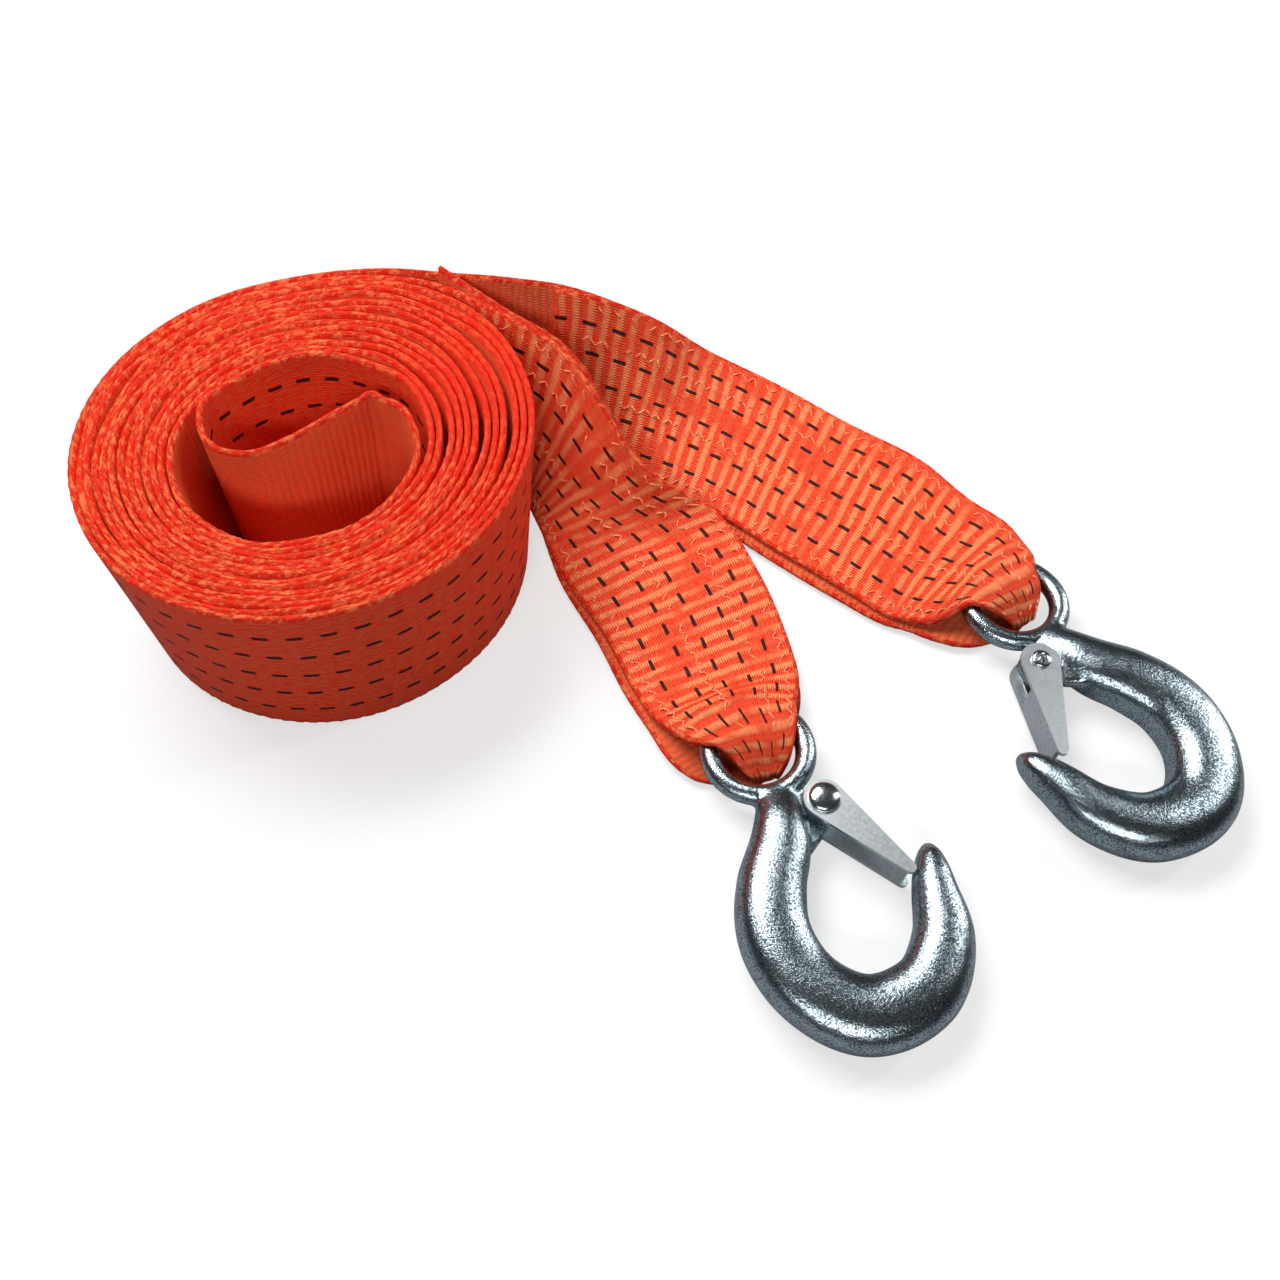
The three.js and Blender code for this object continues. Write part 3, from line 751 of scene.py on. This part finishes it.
def strap_rows():
    """Stations of the whole strap, from the front tail's cut end to the rear tail's cut end.

    A row is near edge, far edge, half thickness, edge roll, arch, slack, pleat.
    """
    # Front tail: the return ply lies under the main ply
    cut = tail_run(
        FRONT_TAIL, [-0.9, -1.0] + [-PAIR_OFFSET] * 6,
        [(0, 0)] * 4 + [(0.2, 0.6), (0, 1.2), (0, 1.8), (0, 1.6)],
        [0.3, 0.3, 0.6, 1.0, 1.2, 0.8, 0.2, 0.2], [1.0] * 8)
    start = cut[1]
    start[3:6] = [start[3] + 0.5, start[4] + 2.4, start[5] + 2.6]
    front_return = [start] + cut[2:]
    front_main = tail_run(
        FRONT_TAIL, [0.0, 0.35, 0.8] + [PAIR_OFFSET] * 5,
        [(0, 0)] * 3 + [(0.4, 0), (0.9, 0), (1.4, 0), (2.2, 0), (2.2, 0)],
        [0.0, 0.3, 0.6, 1.0, 1.2, 0.8, 0.2, 0.6], [0.4, 0.7] + [1.0] * 6)
    # Rear tail: the main ply lies under the return ply
    rear_main = tail_run(
        REAR_TAIL, [0.0, 0.0, -0.2, -0.8] + [-PAIR_OFFSET] * 6,
        [(0, 0)] * 4 + [(0, 0.3), (0, 1.0), (0, 2.2), (0, 2.8), (0, 3.2), (0, 1.4)],
        [0.0, 0.3, 0.5, 0.8, 1.2, 0.8, 0.3, 0.1, 0.1, 0.1], [0.4, 0.7] + [1.0] * 8)
    rear_return = tail_run(
        REAR_TAIL, [1.0] * 4 + [PAIR_OFFSET] * 6,
        [(0, 0)] * 4 + [(0.3, 0), (1.0, 0), (2.2, 0), (2.6, 0), (2.6, 0), (1.6, 0)],
        [0.0, 0.3, 0.5, 0.8, 1.2, 0.8, 0.3, 0.1, 0.1, 0.4], [1.0] * 10)
    # The cut end of the rear return lies a little before its fourth station
    blend = [0.25 * a + 0.75 * b for a, b in zip(rear_return[2], rear_return[3])]
    rear_return = [blend] + rear_return[3:]

    # Stations of a return ply run towards the hook, so its bulge is as drawn
    rows = list(front_return)
    rows += eye_run("front", EYE_FRONT_LOWER[::-1], 1.2, 0.5)
    rows += flipped(eye_run("front", EYE_FRONT_UPPER, 1.35, 0.25))
    rows += flipped(front_main)
    rows += wound_strand(5.70, -0.42, 1.5, 11)
    shrink = COIL_BOTTOM[2] / COIL_TOP[2]
    for x, y in FOLD_LINE:
        low = (
            COIL_BOTTOM[0] + (x - COIL_TOP[0]) * shrink,
            COIL_BOTTOM[1] + (y - COIL_TOP[1]) * shrink,
        )
        rows.append([*low, 0.7, x, y, 49.4, PLY_HALF, 1.0, 0.0, 0.5, 0.0])
    rows += wound_strand(0.05, 6.70, 0.5, 31)
    rows += rear_main
    rows += eye_run("rear", EYE_REAR_LOWER[::-1], 1.2, 0.5)
    rows += flipped(eye_run("rear", EYE_REAR_UPPER, 1.35, 0.25))
    rows += flipped(rear_return)
    return rows


class Strap:
    """The strap's surface, for the cloth itself and for the thread that lies on it."""

    def __init__(self):
        run = flow(strap_rows(), STEP)
        self.near, self.far = run[:, :3], run[:, 3:6]
        self.half, self.roll, self.arch = run[:, 6:9].T
        self.slack = np.clip(run[:, 9], 0, 1)
        self.pleat = np.maximum(run[:, 10], 0)
        middle = (self.near + self.far) / 2
        along = np.gradient(middle, axis=0)
        pace = np.linalg.norm(along, axis=1)
        along /= pace[:, None]
        across = self.far - self.near
        self.width = np.linalg.norm(across, axis=1)
        across /= self.width[:, None]
        normal = np.cross(along, across)
        normal /= np.linalg.norm(normal, axis=1)[:, None]
        self.across, self.normal = across, normal
        gaps = np.linalg.norm(np.diff(middle, axis=0), axis=1)
        self.length = np.concatenate([[0], np.cumsum(gaps)])
        # The cloth is not ironed flat: long soft waves, stronger where it lies loose
        wave = 0.28 * ripple(self.length, 5, 34) + 0.12 * ripple(self.length, 6, 11)
        self.wave = wave * np.clip(self.slack - 0.25, 0, 1)

    def surface(self, rows, share, height):
        """Points at a share of the width and a height from the ply's middle."""
        share = np.asarray(share, float)
        bulge = self.arch[rows] * (1 - (2 * share - 1) ** 2)
        crease = self.pleat[rows] * np.sin(share * 5 * math.pi + self.length[rows] * 0.09)
        fade = np.clip(np.minimum(share, 1 - share) * 8, 0, 1)
        lift = bulge + crease * fade + self.wave[rows] * fade + height
        return (
            self.near[rows]
            + self.across[rows] * (share * self.width[rows])[:, None]
            + self.normal[rows] * lift[:, None]
        )


def build_strap(material, strap):
    """The whole webbing as one closed mesh with its cloth coordinates."""
    form = Strap()
    count = len(form.length)
    rows = np.arange(count)
    rng = np.random.default_rng(7)
    rib = np.sin(2 * math.pi * form.length / (strap.rib_pitch / MM))
    e = form.half * (1 + 0.10 * rib * form.slack)

    def knobs(start):
        """Thickness of the selvedge: the weft turns back once a rib."""
        turn = 2 * math.pi * form.length / (strap.rib_pitch / MM)
        return (1 + 0.15 * np.sin(turn + start) + 0.09 * np.sin(2.9 * turn + start)
                + rng.uniform(-0.07, 0.07, count))

    knob = knobs(0.0)
    bead = form.half * form.roll * knob
    bead_far = form.half * form.roll * knobs(1.7)
    points = []
    cloth = []
    inset = 1.1 / form.width

    def add(share, height, face, push=None):
        spot = form.surface(rows, share, height)
        if push is not None:
            spot = spot + form.across * push[:, None]
        points.append(spot)
        v = (np.broadcast_to(share, (count,)) - 0.5) * strap.cloth_width
        cloth.append(np.stack([form.length * MM, v, np.full(count, face)], axis=1))

    zero = np.zeros(count)
    for share in (inset, zero + 0.25, zero + 0.5, zero + 0.75, 1 - inset):
        add(share, e, 1.0)
    for turn, face in ((0.9, 0.9), (0.0, 0.5), (-0.9, 0.1)):
        add(zero + 1, bead_far * math.sin(turn), face, bead_far * (math.cos(turn) - 1) + 0.15 * knob)
    for share in (1 - inset, zero + 0.75, zero + 0.5, zero + 0.25, inset):
        add(share, -e, 0.0)
    for turn, face in ((-0.9, 0.1), (0.0, 0.5), (0.9, 0.9)):
        add(zero, bead * math.sin(turn), face, bead * (1 - math.cos(turn)) - 0.15 * knob)
    sides = len(points)
    grid = np.stack(points, axis=1)
    grid[:, :, 2] = np.maximum(grid[:, :, 2], 0.05)
    piece = make_object("webbing_strap", placed(grid.reshape(-1, 3)), capped(count, sides), material)
    data = np.stack(cloth, axis=1).reshape(-1, 3)
    hold(piece.data, "cloth", "FLOAT_VECTOR", "vector", data)
    hold(piece.data, "slack", "FLOAT", "value", np.repeat(form.slack, sides))
    # The selvedge is combed smooth where the turns were drawn tight, at the right of the coil
    middle = (form.near + form.far) / 2
    angle = np.arctan2(middle[:, 1] - COIL_TOP[1], middle[:, 0] - COIL_TOP[0])
    fuzz = 1 - 0.8 * np.exp(-((angle - 0.25) / 0.75) ** 2) * (form.slack < 0.3)
    hold(piece.data, "fuzz", "FLOAT", "value", np.repeat(fuzz, sides))
    return piece, form


def build_stitching(form, side, span, lines, face, material):
    """Zigzag seams on one sewn tail, lying on the top ply."""
    rng = random.Random(len(side) * 17)
    parts = []
    for share, swing in lines:
        spots = []
        length = span[0]
        k = 0
        while length < span[1]:
            row = int(np.searchsorted(form.length, length))
            across = share + (swing if k % 2 else -swing) / WEB_WIDTH + rng.uniform(-0.008, 0.008)
            spots.append((row, across))
            length += STITCH + rng.uniform(-0.4, 0.4)
            k += 1
        rows, shares = np.array([s[0] for s in spots]), np.array([s[1] for s in spots])
        low = form.surface(rows, shares, face * (form.half[rows] - 0.35))
        high = form.surface(rows, shares, face * (form.half[rows] + 0.18))
        fine = []
        for k in range(len(rows) - 1):
            shown = rng.random() > 0.35
            for t in (0.0, 0.25, 0.5, 0.75):
                rise = math.sin(math.pi * t) if shown else 0.0
                start = low[k] + (high[k] - low[k]) * rise
                end = low[k + 1] + (high[k + 1] - low[k + 1]) * rise
                fine.append(start + (end - start) * t)
        parts.append(tube(fine, THREAD_RADIUS, 5))
    points, faces = joined(parts)
    return make_object(f"stitching_{side}", placed(points), faces, material)


# ------------------------------------------------------------------ hooks

def hook_matrix(side):
    """From the hook's own millimetres to the frame in metres."""
    spot = HOOKS[side]
    offset = (np.array([spot["x"], spot["y"], HOOK_LEVEL]) - SHIFT) * MM
    turn = Matrix.Rotation(spot["turn"], 4, "Z") @ Matrix.Rotation(spot["over"], 4, "Y")
    return Matrix.Translation(Vector(offset)) @ turn @ Matrix.Scale(MM, 4)


def latch_matrix(side):
    """From the latch's own millimetres to the frame in metres."""
    place = Matrix.Translation((*PIVOT, 0))
    return hook_matrix(side) @ place @ Matrix.Rotation(LATCH_ANGLE, 4, "Z")


def bar_of_hook():
    """Forged bar: rounded section with a flat inner flank."""
    rows = np.array(HOOK_LINE, float)
    line = flow(np.concatenate([
        np.stack([rows[:, 0], rows[:, 1], np.zeros(len(rows))], axis=1),
        np.stack([rows[:, 0], rows[:, 1], np.zeros(len(rows))], axis=1),
        rows[:, 2:4]], axis=1), 1.0)
    centre = line[:, :2]
    way = np.gradient(centre, axis=0)
    way /= np.linalg.norm(way, axis=1)[:, None]
    side = np.stack([-way[:, 1], way[:, 0]], axis=1)
    sides = 40
    angle = 2 * math.pi * (np.arange(sides) + 0.5) / sides
    cos = np.sign(np.cos(angle)) * np.abs(np.cos(angle)) ** 0.84
    sin = np.sign(np.sin(angle)) * np.abs(np.sin(angle)) ** 0.84
    points = np.zeros((len(line), sides, 3))
    for k in range(len(line)):
        wide, thick = line[k, 6], line[k, 7]
        out = wide * np.where(cos > 0, np.minimum(cos / 0.93, 1.0), cos)
        points[k, :, 0] = centre[k, 0] + side[k, 0] * out
        points[k, :, 1] = centre[k, 1] + side[k, 1] * out
        points[k, :, 2] = sin * thick
    return points.reshape(-1, 3), capped(len(line), sides)


def ring_of_hook():
    """Round bar of the ring."""
    rows, columns = 96, 28
    points = []
    for i in range(rows):
        a = 2 * math.pi * i / rows
        for j in range(columns):
            b = 2 * math.pi * j / columns
            r = RING_RADIUS + RING_BAR * math.cos(b)
            points.append((r * math.cos(a), r * math.sin(a), RING_BAR * math.sin(b)))
    return np.array(points), grid_faces(rows, columns, wrap_rows=True)


def slab(outline, low, high):
    """Straight plate over an outline."""
    count = len(outline)
    points = [(x, y, low) for x, y in outline] + [(x, y, high) for x, y in outline]
    faces = [list(range(count))[::-1], [count + k for k in range(count)]]
    for k in range(count):
        n = (k + 1) % count
        faces.append([k, n, count + n, count + k])
    return np.array(points, float), faces


def arc(x, y, radius, first, last, steps):
    """Points of an arc."""
    return [
        (x + radius * math.cos(a), y + radius * math.sin(a))
        for a in np.linspace(first, last, steps)
    ]


def round_bar(radius, x, y, sides=40):
    """Straight pin across the hook."""
    return slab(arc(x, y, radius, 0, 2 * math.pi * (sides - 1) / sides, sides), -9, 9)


def combine(base, other, operation):
    """Boolean of two helper objects; the second one is removed."""
    modifier = base.modifiers.new("cut", "BOOLEAN")
    modifier.operation = operation
    modifier.solver = "EXACT"
    modifier.object = other
    baked(base)
    mesh = other.data
    bpy.data.objects.remove(other)
    bpy.data.meshes.remove(mesh)


def build_hook(side, material, voxel):
    """Slip hook forging: ring, shank, bowl and point with the latch lug."""
    lug = arc(*PIVOT, LUG_RADIUS, -0.3 * math.pi, 0.5 * math.pi, 16)
    lug += [(-3, -13), (-6, -26.3), (-1, -27.8)]
    piece = scratch(f"forging_{side}", *joined([
        bar_of_hook(), ring_of_hook(), slab(lug, LUG_LOW, LUG_HIGH)]))
    remesh = piece.modifiers.new("skin", "REMESH")
    remesh.mode = "VOXEL"
    remesh.voxel_size = voxel / MM
    remesh.adaptivity = 0.0
    baked(piece)
    # The neck below the ring is worked much smoother than the rest
    x, y, _ = vertex_values(piece.data, "co").T
    neck = np.exp(-(((x + 1.6) / 6.5) ** 2 + ((y + 14.5) / 4.2) ** 2))
    neck = np.maximum(neck, 0.6 * np.exp(-(((x - 2.0) / 4.0) ** 2 + ((y + 20) / 7) ** 2)))
    for name, weight, repeat in (("all", np.ones(len(x)), 8), ("neck", neck, 40)):
        group = piece.vertex_groups.new(name=name)
        for level in range(1, 11):
            some = np.nonzero((weight > (level - 1) / 10) & (weight <= level / 10))[0]
            if len(some):
                group.add(some.tolist(), level / 10, "REPLACE")
        smooth = piece.modifiers.new(name, "SMOOTH")
        smooth.factor = 0.5
        smooth.iterations = repeat
        smooth.vertex_group = name
    baked(piece)
    combine(piece, scratch("hole", *round_bar(RIVET_RADIUS + FIT, *PIVOT)), "DIFFERENCE")
    mesh = piece.data
    co, normal = vertex_values(mesh, "co"), vertex_values(mesh, "normal")
    x, y, z = co.T
    # Trimmed flash of the drop forging along the mid plane, and a faintly uneven skin
    flank = np.clip(1 - 2 * np.abs(normal[:, 2]), 0, 1)
    ridge = 0.08 * np.exp(-(z / 0.45) ** 2) * flank * (y < -24)
    dent = 0.02 * ripple(x * 1.3 + y, 3, 22) + 0.015 * ripple(y - z, 4, 15)
    co = co + normal * (ridge + dent)[:, None]
    mesh.vertices.foreach_set("co", co.ravel())
    piece.vertex_groups.clear()
    return finished(piece, material, hook_matrix(side))


def build_latch(side, material):
    """Latch: a sheet channel with rounded folds, its cheeks holed for the rivet."""
    lean = math.asin((CHEEK_RADIUS - LATCH_TIP_HALF) / LATCH_LENGTH)
    end = LATCH_LENGTH - LATCH_TIP_HALF
    cheek = arc(0, 0, CHEEK_RADIUS, math.pi / 2 - lean, 1.5 * math.pi + lean, 28)
    cheek += arc(end, 0, LATCH_TIP_HALF, lean - math.pi / 2, math.pi / 2 - lean, 8)

    def edge(x):
        run = x / end
        return (CHEEK_RADIUS + (LATCH_TIP_HALF - CHEEK_RADIUS) * run) / math.cos(lean)

    web = [
        (WEB_START, edge(WEB_START) - SHEET), (end, edge(end) - SHEET),
        (end, edge(end)), (WEB_START, edge(WEB_START)),
    ]
    middle = CHANNEL_HALF - SHEET / 2
    piece = scratch(f"channel_{side}", *slab(cheek, CHANNEL_HALF - SHEET, CHANNEL_HALF))
    for name, form, operation in (
        ("lower", slab(cheek, -CHANNEL_HALF, SHEET - CHANNEL_HALF), "UNION"),
        ("web", slab(web, -middle, middle), "UNION"),
        ("hole", round_bar(RIVET_RADIUS + FIT, 0, 0), "DIFFERENCE"),
    ):
        combine(piece, scratch(name, *form), operation)
    mesh = piece.data
    mesh.polygons.foreach_set("use_smooth", [True] * len(mesh.polygons))
    # The two folds are round, cut edges are only broken, and flat joins stay as they are
    work = bmesh.new()
    work.from_mesh(mesh)
    layer = work.edges.layers.float.new("bevel_weight_edge")
    for item in work.edges:
        folded = all(
            abs(abs(p.z) - CHANNEL_HALF) < 0.01 and p.x > WEB_START - 0.6 and p.y > 0
            and abs(p.y - edge(p.x)) < 0.12 for p in (v.co for v in item.verts))
        corner = len(item.link_faces) == 2 and item.calc_face_angle(0) >= 0.5
        item[layer] = (1.0 if folded else CUT_EDGE) if corner else 0.0
    work.to_mesh(mesh)
    work.free()
    bevel = piece.modifiers.new("edges", "BEVEL")
    bevel.width = FOLD_ROUND
    bevel.segments = 3
    bevel.limit_method = "WEIGHT"
    bevel.harden_normals = False
    even = piece.modifiers.new("even", "WEIGHTED_NORMAL")
    even.mode = "FACE_AREA"
    even.weight = 100
    baked(piece)
    return finished(piece, material, latch_matrix(side), smooth=False)


def turned(profile, sides=56):
    """Lathe of (radius, height) points about the rivet's axis, closed on the axis."""
    points = []
    faces = []
    columns = len(profile)
    for k in range(sides):
        a = 2 * math.pi * k / sides
        points += [(r * math.cos(a), r * math.sin(a), h) for r, h in profile]
        here, there = k * columns, (k + 1) % sides * columns
        faces += [(here + j, there + j, there + j + 1, here + j + 1) for j in range(columns - 1)]
    return np.array(points), faces


def build_rivet(side, material):
    """Rivet with a domed head on one cheek and a rolled tubular end on the other."""
    top = CHANNEL_HALF + 0.05
    head = []
    for t in np.linspace(0, 1, 10):
        a = t * math.pi / 2
        head.append((3.7 * math.cos(a) ** 0.9 if t < 1 else 0.0, top + 0.35 + 1.35 * math.sin(a)))
    roll = [(1.85 + 0.6 * math.cos(a), -top - 0.35 - 0.6 * math.sin(a))
            for a in np.linspace(math.pi, -0.15 * math.pi, 14)]
    piece = scratch(f"rivet_pin_{side}", *turned(
        [(0.0, -top + 2.2), (1.0, -top + 2.1), (1.18, -top + 1.6)] + roll
        + [(2.45, -top), (RIVET_RADIUS, -top), (RIVET_RADIUS, top), (3.6, top), (3.7, top + 0.12)]
        + head))
    mesh = piece.data
    work = bmesh.new()
    work.from_mesh(mesh)
    bmesh.ops.remove_doubles(work, verts=work.verts, dist=1e-4)
    bmesh.ops.recalc_face_normals(work, faces=work.faces)
    work.to_mesh(mesh)
    work.free()
    finished(piece, material, hook_matrix(side) @ Matrix.Translation((*PIVOT, 0)))
    mesh.set_sharp_from_angle(angle=math.radians(50))
    mesh.update()
    return piece


def build_spring(side, material):
    """Torsion spring beside the lug, one leg under the latch's web."""
    low = LUG_HIGH + FIT + SPRING_WIRE
    high = CHANNEL_HALF - SHEET - FIT - SPRING_WIRE
    finish = math.radians(-6) + math.pi / 2
    line = []
    for t in np.linspace(0, 1, 60):
        angle = finish + (1 - t) * 1.5 * 2 * math.pi
        line.append((
            SPRING_COIL * math.cos(angle), SPRING_COIL * math.sin(angle), low + (high - low) * t))
    for run in np.linspace(0.4, 11, 16):
        line.append((
            SPRING_COIL * math.cos(finish) + math.sin(finish) * run,
            SPRING_COIL * math.sin(finish) - math.cos(finish) * run, high))
    piece = scratch(f"spring_coil_{side}", *tube(line, SPRING_WIRE, 10))
    return finished(piece, material, latch_matrix(side))


# ------------------------------------------------------------------ operators

class TOWSTRAP_OT_webbing(bpy.types.Operator):
    """Build the coiled webbing with its sewn tails"""
    bl_idname = "towstrap.webbing"
    bl_label = "Webbing"

    def execute(self, context):
        strap = context.scene.towstrap_strap
        piece, form = build_strap(webbing_material(strap), strap)
        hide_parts("webbing")
        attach(piece, "webbing")
        end = form.length[-1]
        thread = thread_material()
        # Each seam's place as a share of the width, and how far it swings in millimetres
        for side, span, first in (
            ("front", (165, 335), (0.08, 1.1)), ("rear", (end - 155, end - 6), (0.07, 1.1)),
        ):
            lines = (first, (0.42, 1.0), (0.75, 1.0), (0.93, 1.2))
            seam = build_stitching(form, side, span, lines, -1.0, thread)
            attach(seam, "webbing")
        return {"FINISHED"}


class TOWSTRAP_OT_hooks(bpy.types.Operator):
    """Build both slip hook forgings"""
    bl_idname = "towstrap.hooks"
    bl_label = "Hooks"

    def execute(self, context):
        hook = context.scene.towstrap_hook
        material = zinc_material(
            "zinc_forged", hook.light_zinc, hook.dark_zinc,
            grain=0.00040, patch=0.004, smooth=0.20, rough=0.27, bump=0.00008)
        for side in HOOKS:
            piece = build_hook(side, material, hook.voxel)
            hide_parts(f"hook_{side}")
            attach(piece, f"hook_{side}")
        return {"FINISHED"}


class TOWSTRAP_OT_latches(bpy.types.Operator):
    """Build both latches with their rivets and springs"""
    bl_idname = "towstrap.latches"
    bl_label = "Latches"

    def execute(self, context):
        sheet = zinc_material(
            "zinc_pressed", linear(228, 234, 236), linear(204, 212, 216),
            grain=0.0009, patch=0.006, smooth=0.34, rough=0.42, bump=0.00001)
        pin = zinc_material(
            "zinc_pin", linear(226, 230, 232), linear(176, 182, 188),
            grain=0.0005, patch=0.003, smooth=0.14, rough=0.26, bump=0.00002)
        wire = zinc_material(
            "spring_steel", linear(180, 184, 188), linear(110, 114, 120),
            grain=0.0004, patch=0.003, smooth=0.25, rough=0.4, bump=0.00002)
        for side in HOOKS:
            for name, body, slot, piece in (
                ("latch", "latch", "zinc_sheet", build_latch(side, sheet)),
                ("rivet", "hook", "zinc_rivet", build_rivet(side, pin)),
                ("spring", "latch", "spring_wire", build_spring(side, wire)),
            ):
                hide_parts(f"{name}_{side}")
                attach(piece, f"{body}_{side}")
        return {"FINISHED"}


def area_light(name, spot, size, power):
    """A soft rectangular lamp that looks at the middle of the floor."""
    lamp = bpy.data.lights.new(name, "AREA")
    lamp.shape = "RECTANGLE"
    lamp.size, lamp.size_y = size
    lamp.energy = power
    item = bpy.data.objects.new(name, lamp)
    bpy.context.scene.collection.objects.link(item)
    item.location = spot
    item.rotation_euler = (-Vector(spot)).to_track_quat("-Z", "Y").to_euler()


class TOWSTRAP_OT_stage(bpy.types.Operator):
    """Set the plain floor, the soft light and the camera"""
    bl_idname = "towstrap.stage"
    bl_label = "Stage"

    def execute(self, context):
        scene = context.scene
        stage = scene.towstrap_stage
        material, tree, shader = new_material("plain_floor")
        shader.inputs["Roughness"].default_value = 0.9
        shader.inputs["Specular IOR Level"].default_value = 0.0
        # The floor is pale to the eye, and a little darker to what it lights and mirrors
        seen = put(tree, "LightPath", {}, "Is Camera Ray")
        colour = mix_colour(tree, seen, (0.30, 0.31, 0.33), tuple(0.42 * c for c in stage.floor))
        feed(tree, shader.inputs["Base Color"], colour)
        shader.inputs["Emission Color"].default_value = (1, 1, 1, 1)
        feed(tree, shader.inputs["Emission Strength"], math_node(tree, "MULTIPLY", seen, 0.60))
        corners = ((-1, -1), (1, -1), (1, 1), (-1, 1))
        floor = make_object(
            "floor", [(x * FLOOR_HALF, y * FLOOR_HALF, 0) for x, y in corners],
            [(0, 1, 2, 3)], material, smooth=False)
        camera = bpy.data.cameras.new("camera")
        camera.sensor_width = SENSOR
        camera.sensor_fit = "HORIZONTAL"
        camera.lens = stage.focal
        camera.clip_start = 0.01
        holder = bpy.data.objects.new("camera", camera)
        scene.collection.objects.link(holder)
        spot = placed((0, 0, 0))
        holder.location = (spot[0], spot[1], stage.lift)
        holder.rotation_euler = (math.pi / 2 - stage.look_down, 0, 0)
        scene.camera = holder
        for lamp in LAMPS[:1 + stage.side_lights]:
            area_light(*lamp)
        world = bpy.data.worlds.new("studio")
        world.use_nodes = True
        back = world.node_tree.nodes["Background"]
        back.inputs["Color"].default_value = (0.9, 0.95, 1.0, 1)
        back.inputs["Strength"].default_value = 0.04
        scene.world = world
        scene.view_settings.view_transform = "Standard"
        return {"FINISHED"}


class TOWSTRAP_PT_panel(bpy.types.Panel):
    """Everything that builds the tow strap"""
    bl_idname = "TOWSTRAP_PT_panel"
    bl_label = "Tow strap"
    bl_space_type = "VIEW_3D"
    bl_region_type = "UI"
    bl_category = "Tow strap"

    def draw(self, context):
        layout = self.layout
        for group, names in (
            (context.scene.towstrap_strap, (
                "cloth_width", "rib_pitch", "dash_pitch", "row_pitch", "deep", "bright", "dash")),
            (context.scene.towstrap_hook, ("voxel", "light_zinc", "dark_zinc")),
            (context.scene.towstrap_stage, ("floor", "focal", "lift", "look_down", "side_lights")),
        ):
            box = layout.box()
            for name in names:
                box.prop(group, name)
        for item in OPERATORS:
            layout.operator(item.bl_idname)


SETTINGS = (
    ("towstrap_strap", StrapSettings),
    ("towstrap_hook", HookSettings),
    ("towstrap_stage", StageSettings),
)
OPERATORS = (TOWSTRAP_OT_webbing, TOWSTRAP_OT_hooks, TOWSTRAP_OT_latches, TOWSTRAP_OT_stage)


def register():
    """Register the settings, the operators and the panel."""
    for name, kind in SETTINGS:
        bpy.utils.register_class(kind)
        setattr(bpy.types.Scene, name, PointerProperty(type=kind))
    for kind in OPERATORS:
        bpy.utils.register_class(kind)
    bpy.utils.register_class(TOWSTRAP_PT_panel)


def unregister():
    """Take everything back."""
    bpy.utils.unregister_class(TOWSTRAP_PT_panel)
    for kind in reversed(OPERATORS):
        bpy.utils.unregister_class(kind)
    for name, kind in reversed(SETTINGS):
        delattr(bpy.types.Scene, name)
        bpy.utils.unregister_class(kind)


def main():
    """Build the whole model."""
    register()
    bpy.ops.towstrap.webbing()
    bpy.ops.towstrap.hooks()
    bpy.ops.towstrap.latches()
    bpy.ops.towstrap.stage()

    def plain(box):
        return [[float(value) for value in corner] for corner in box]


if __name__ == "__main__":
    main()
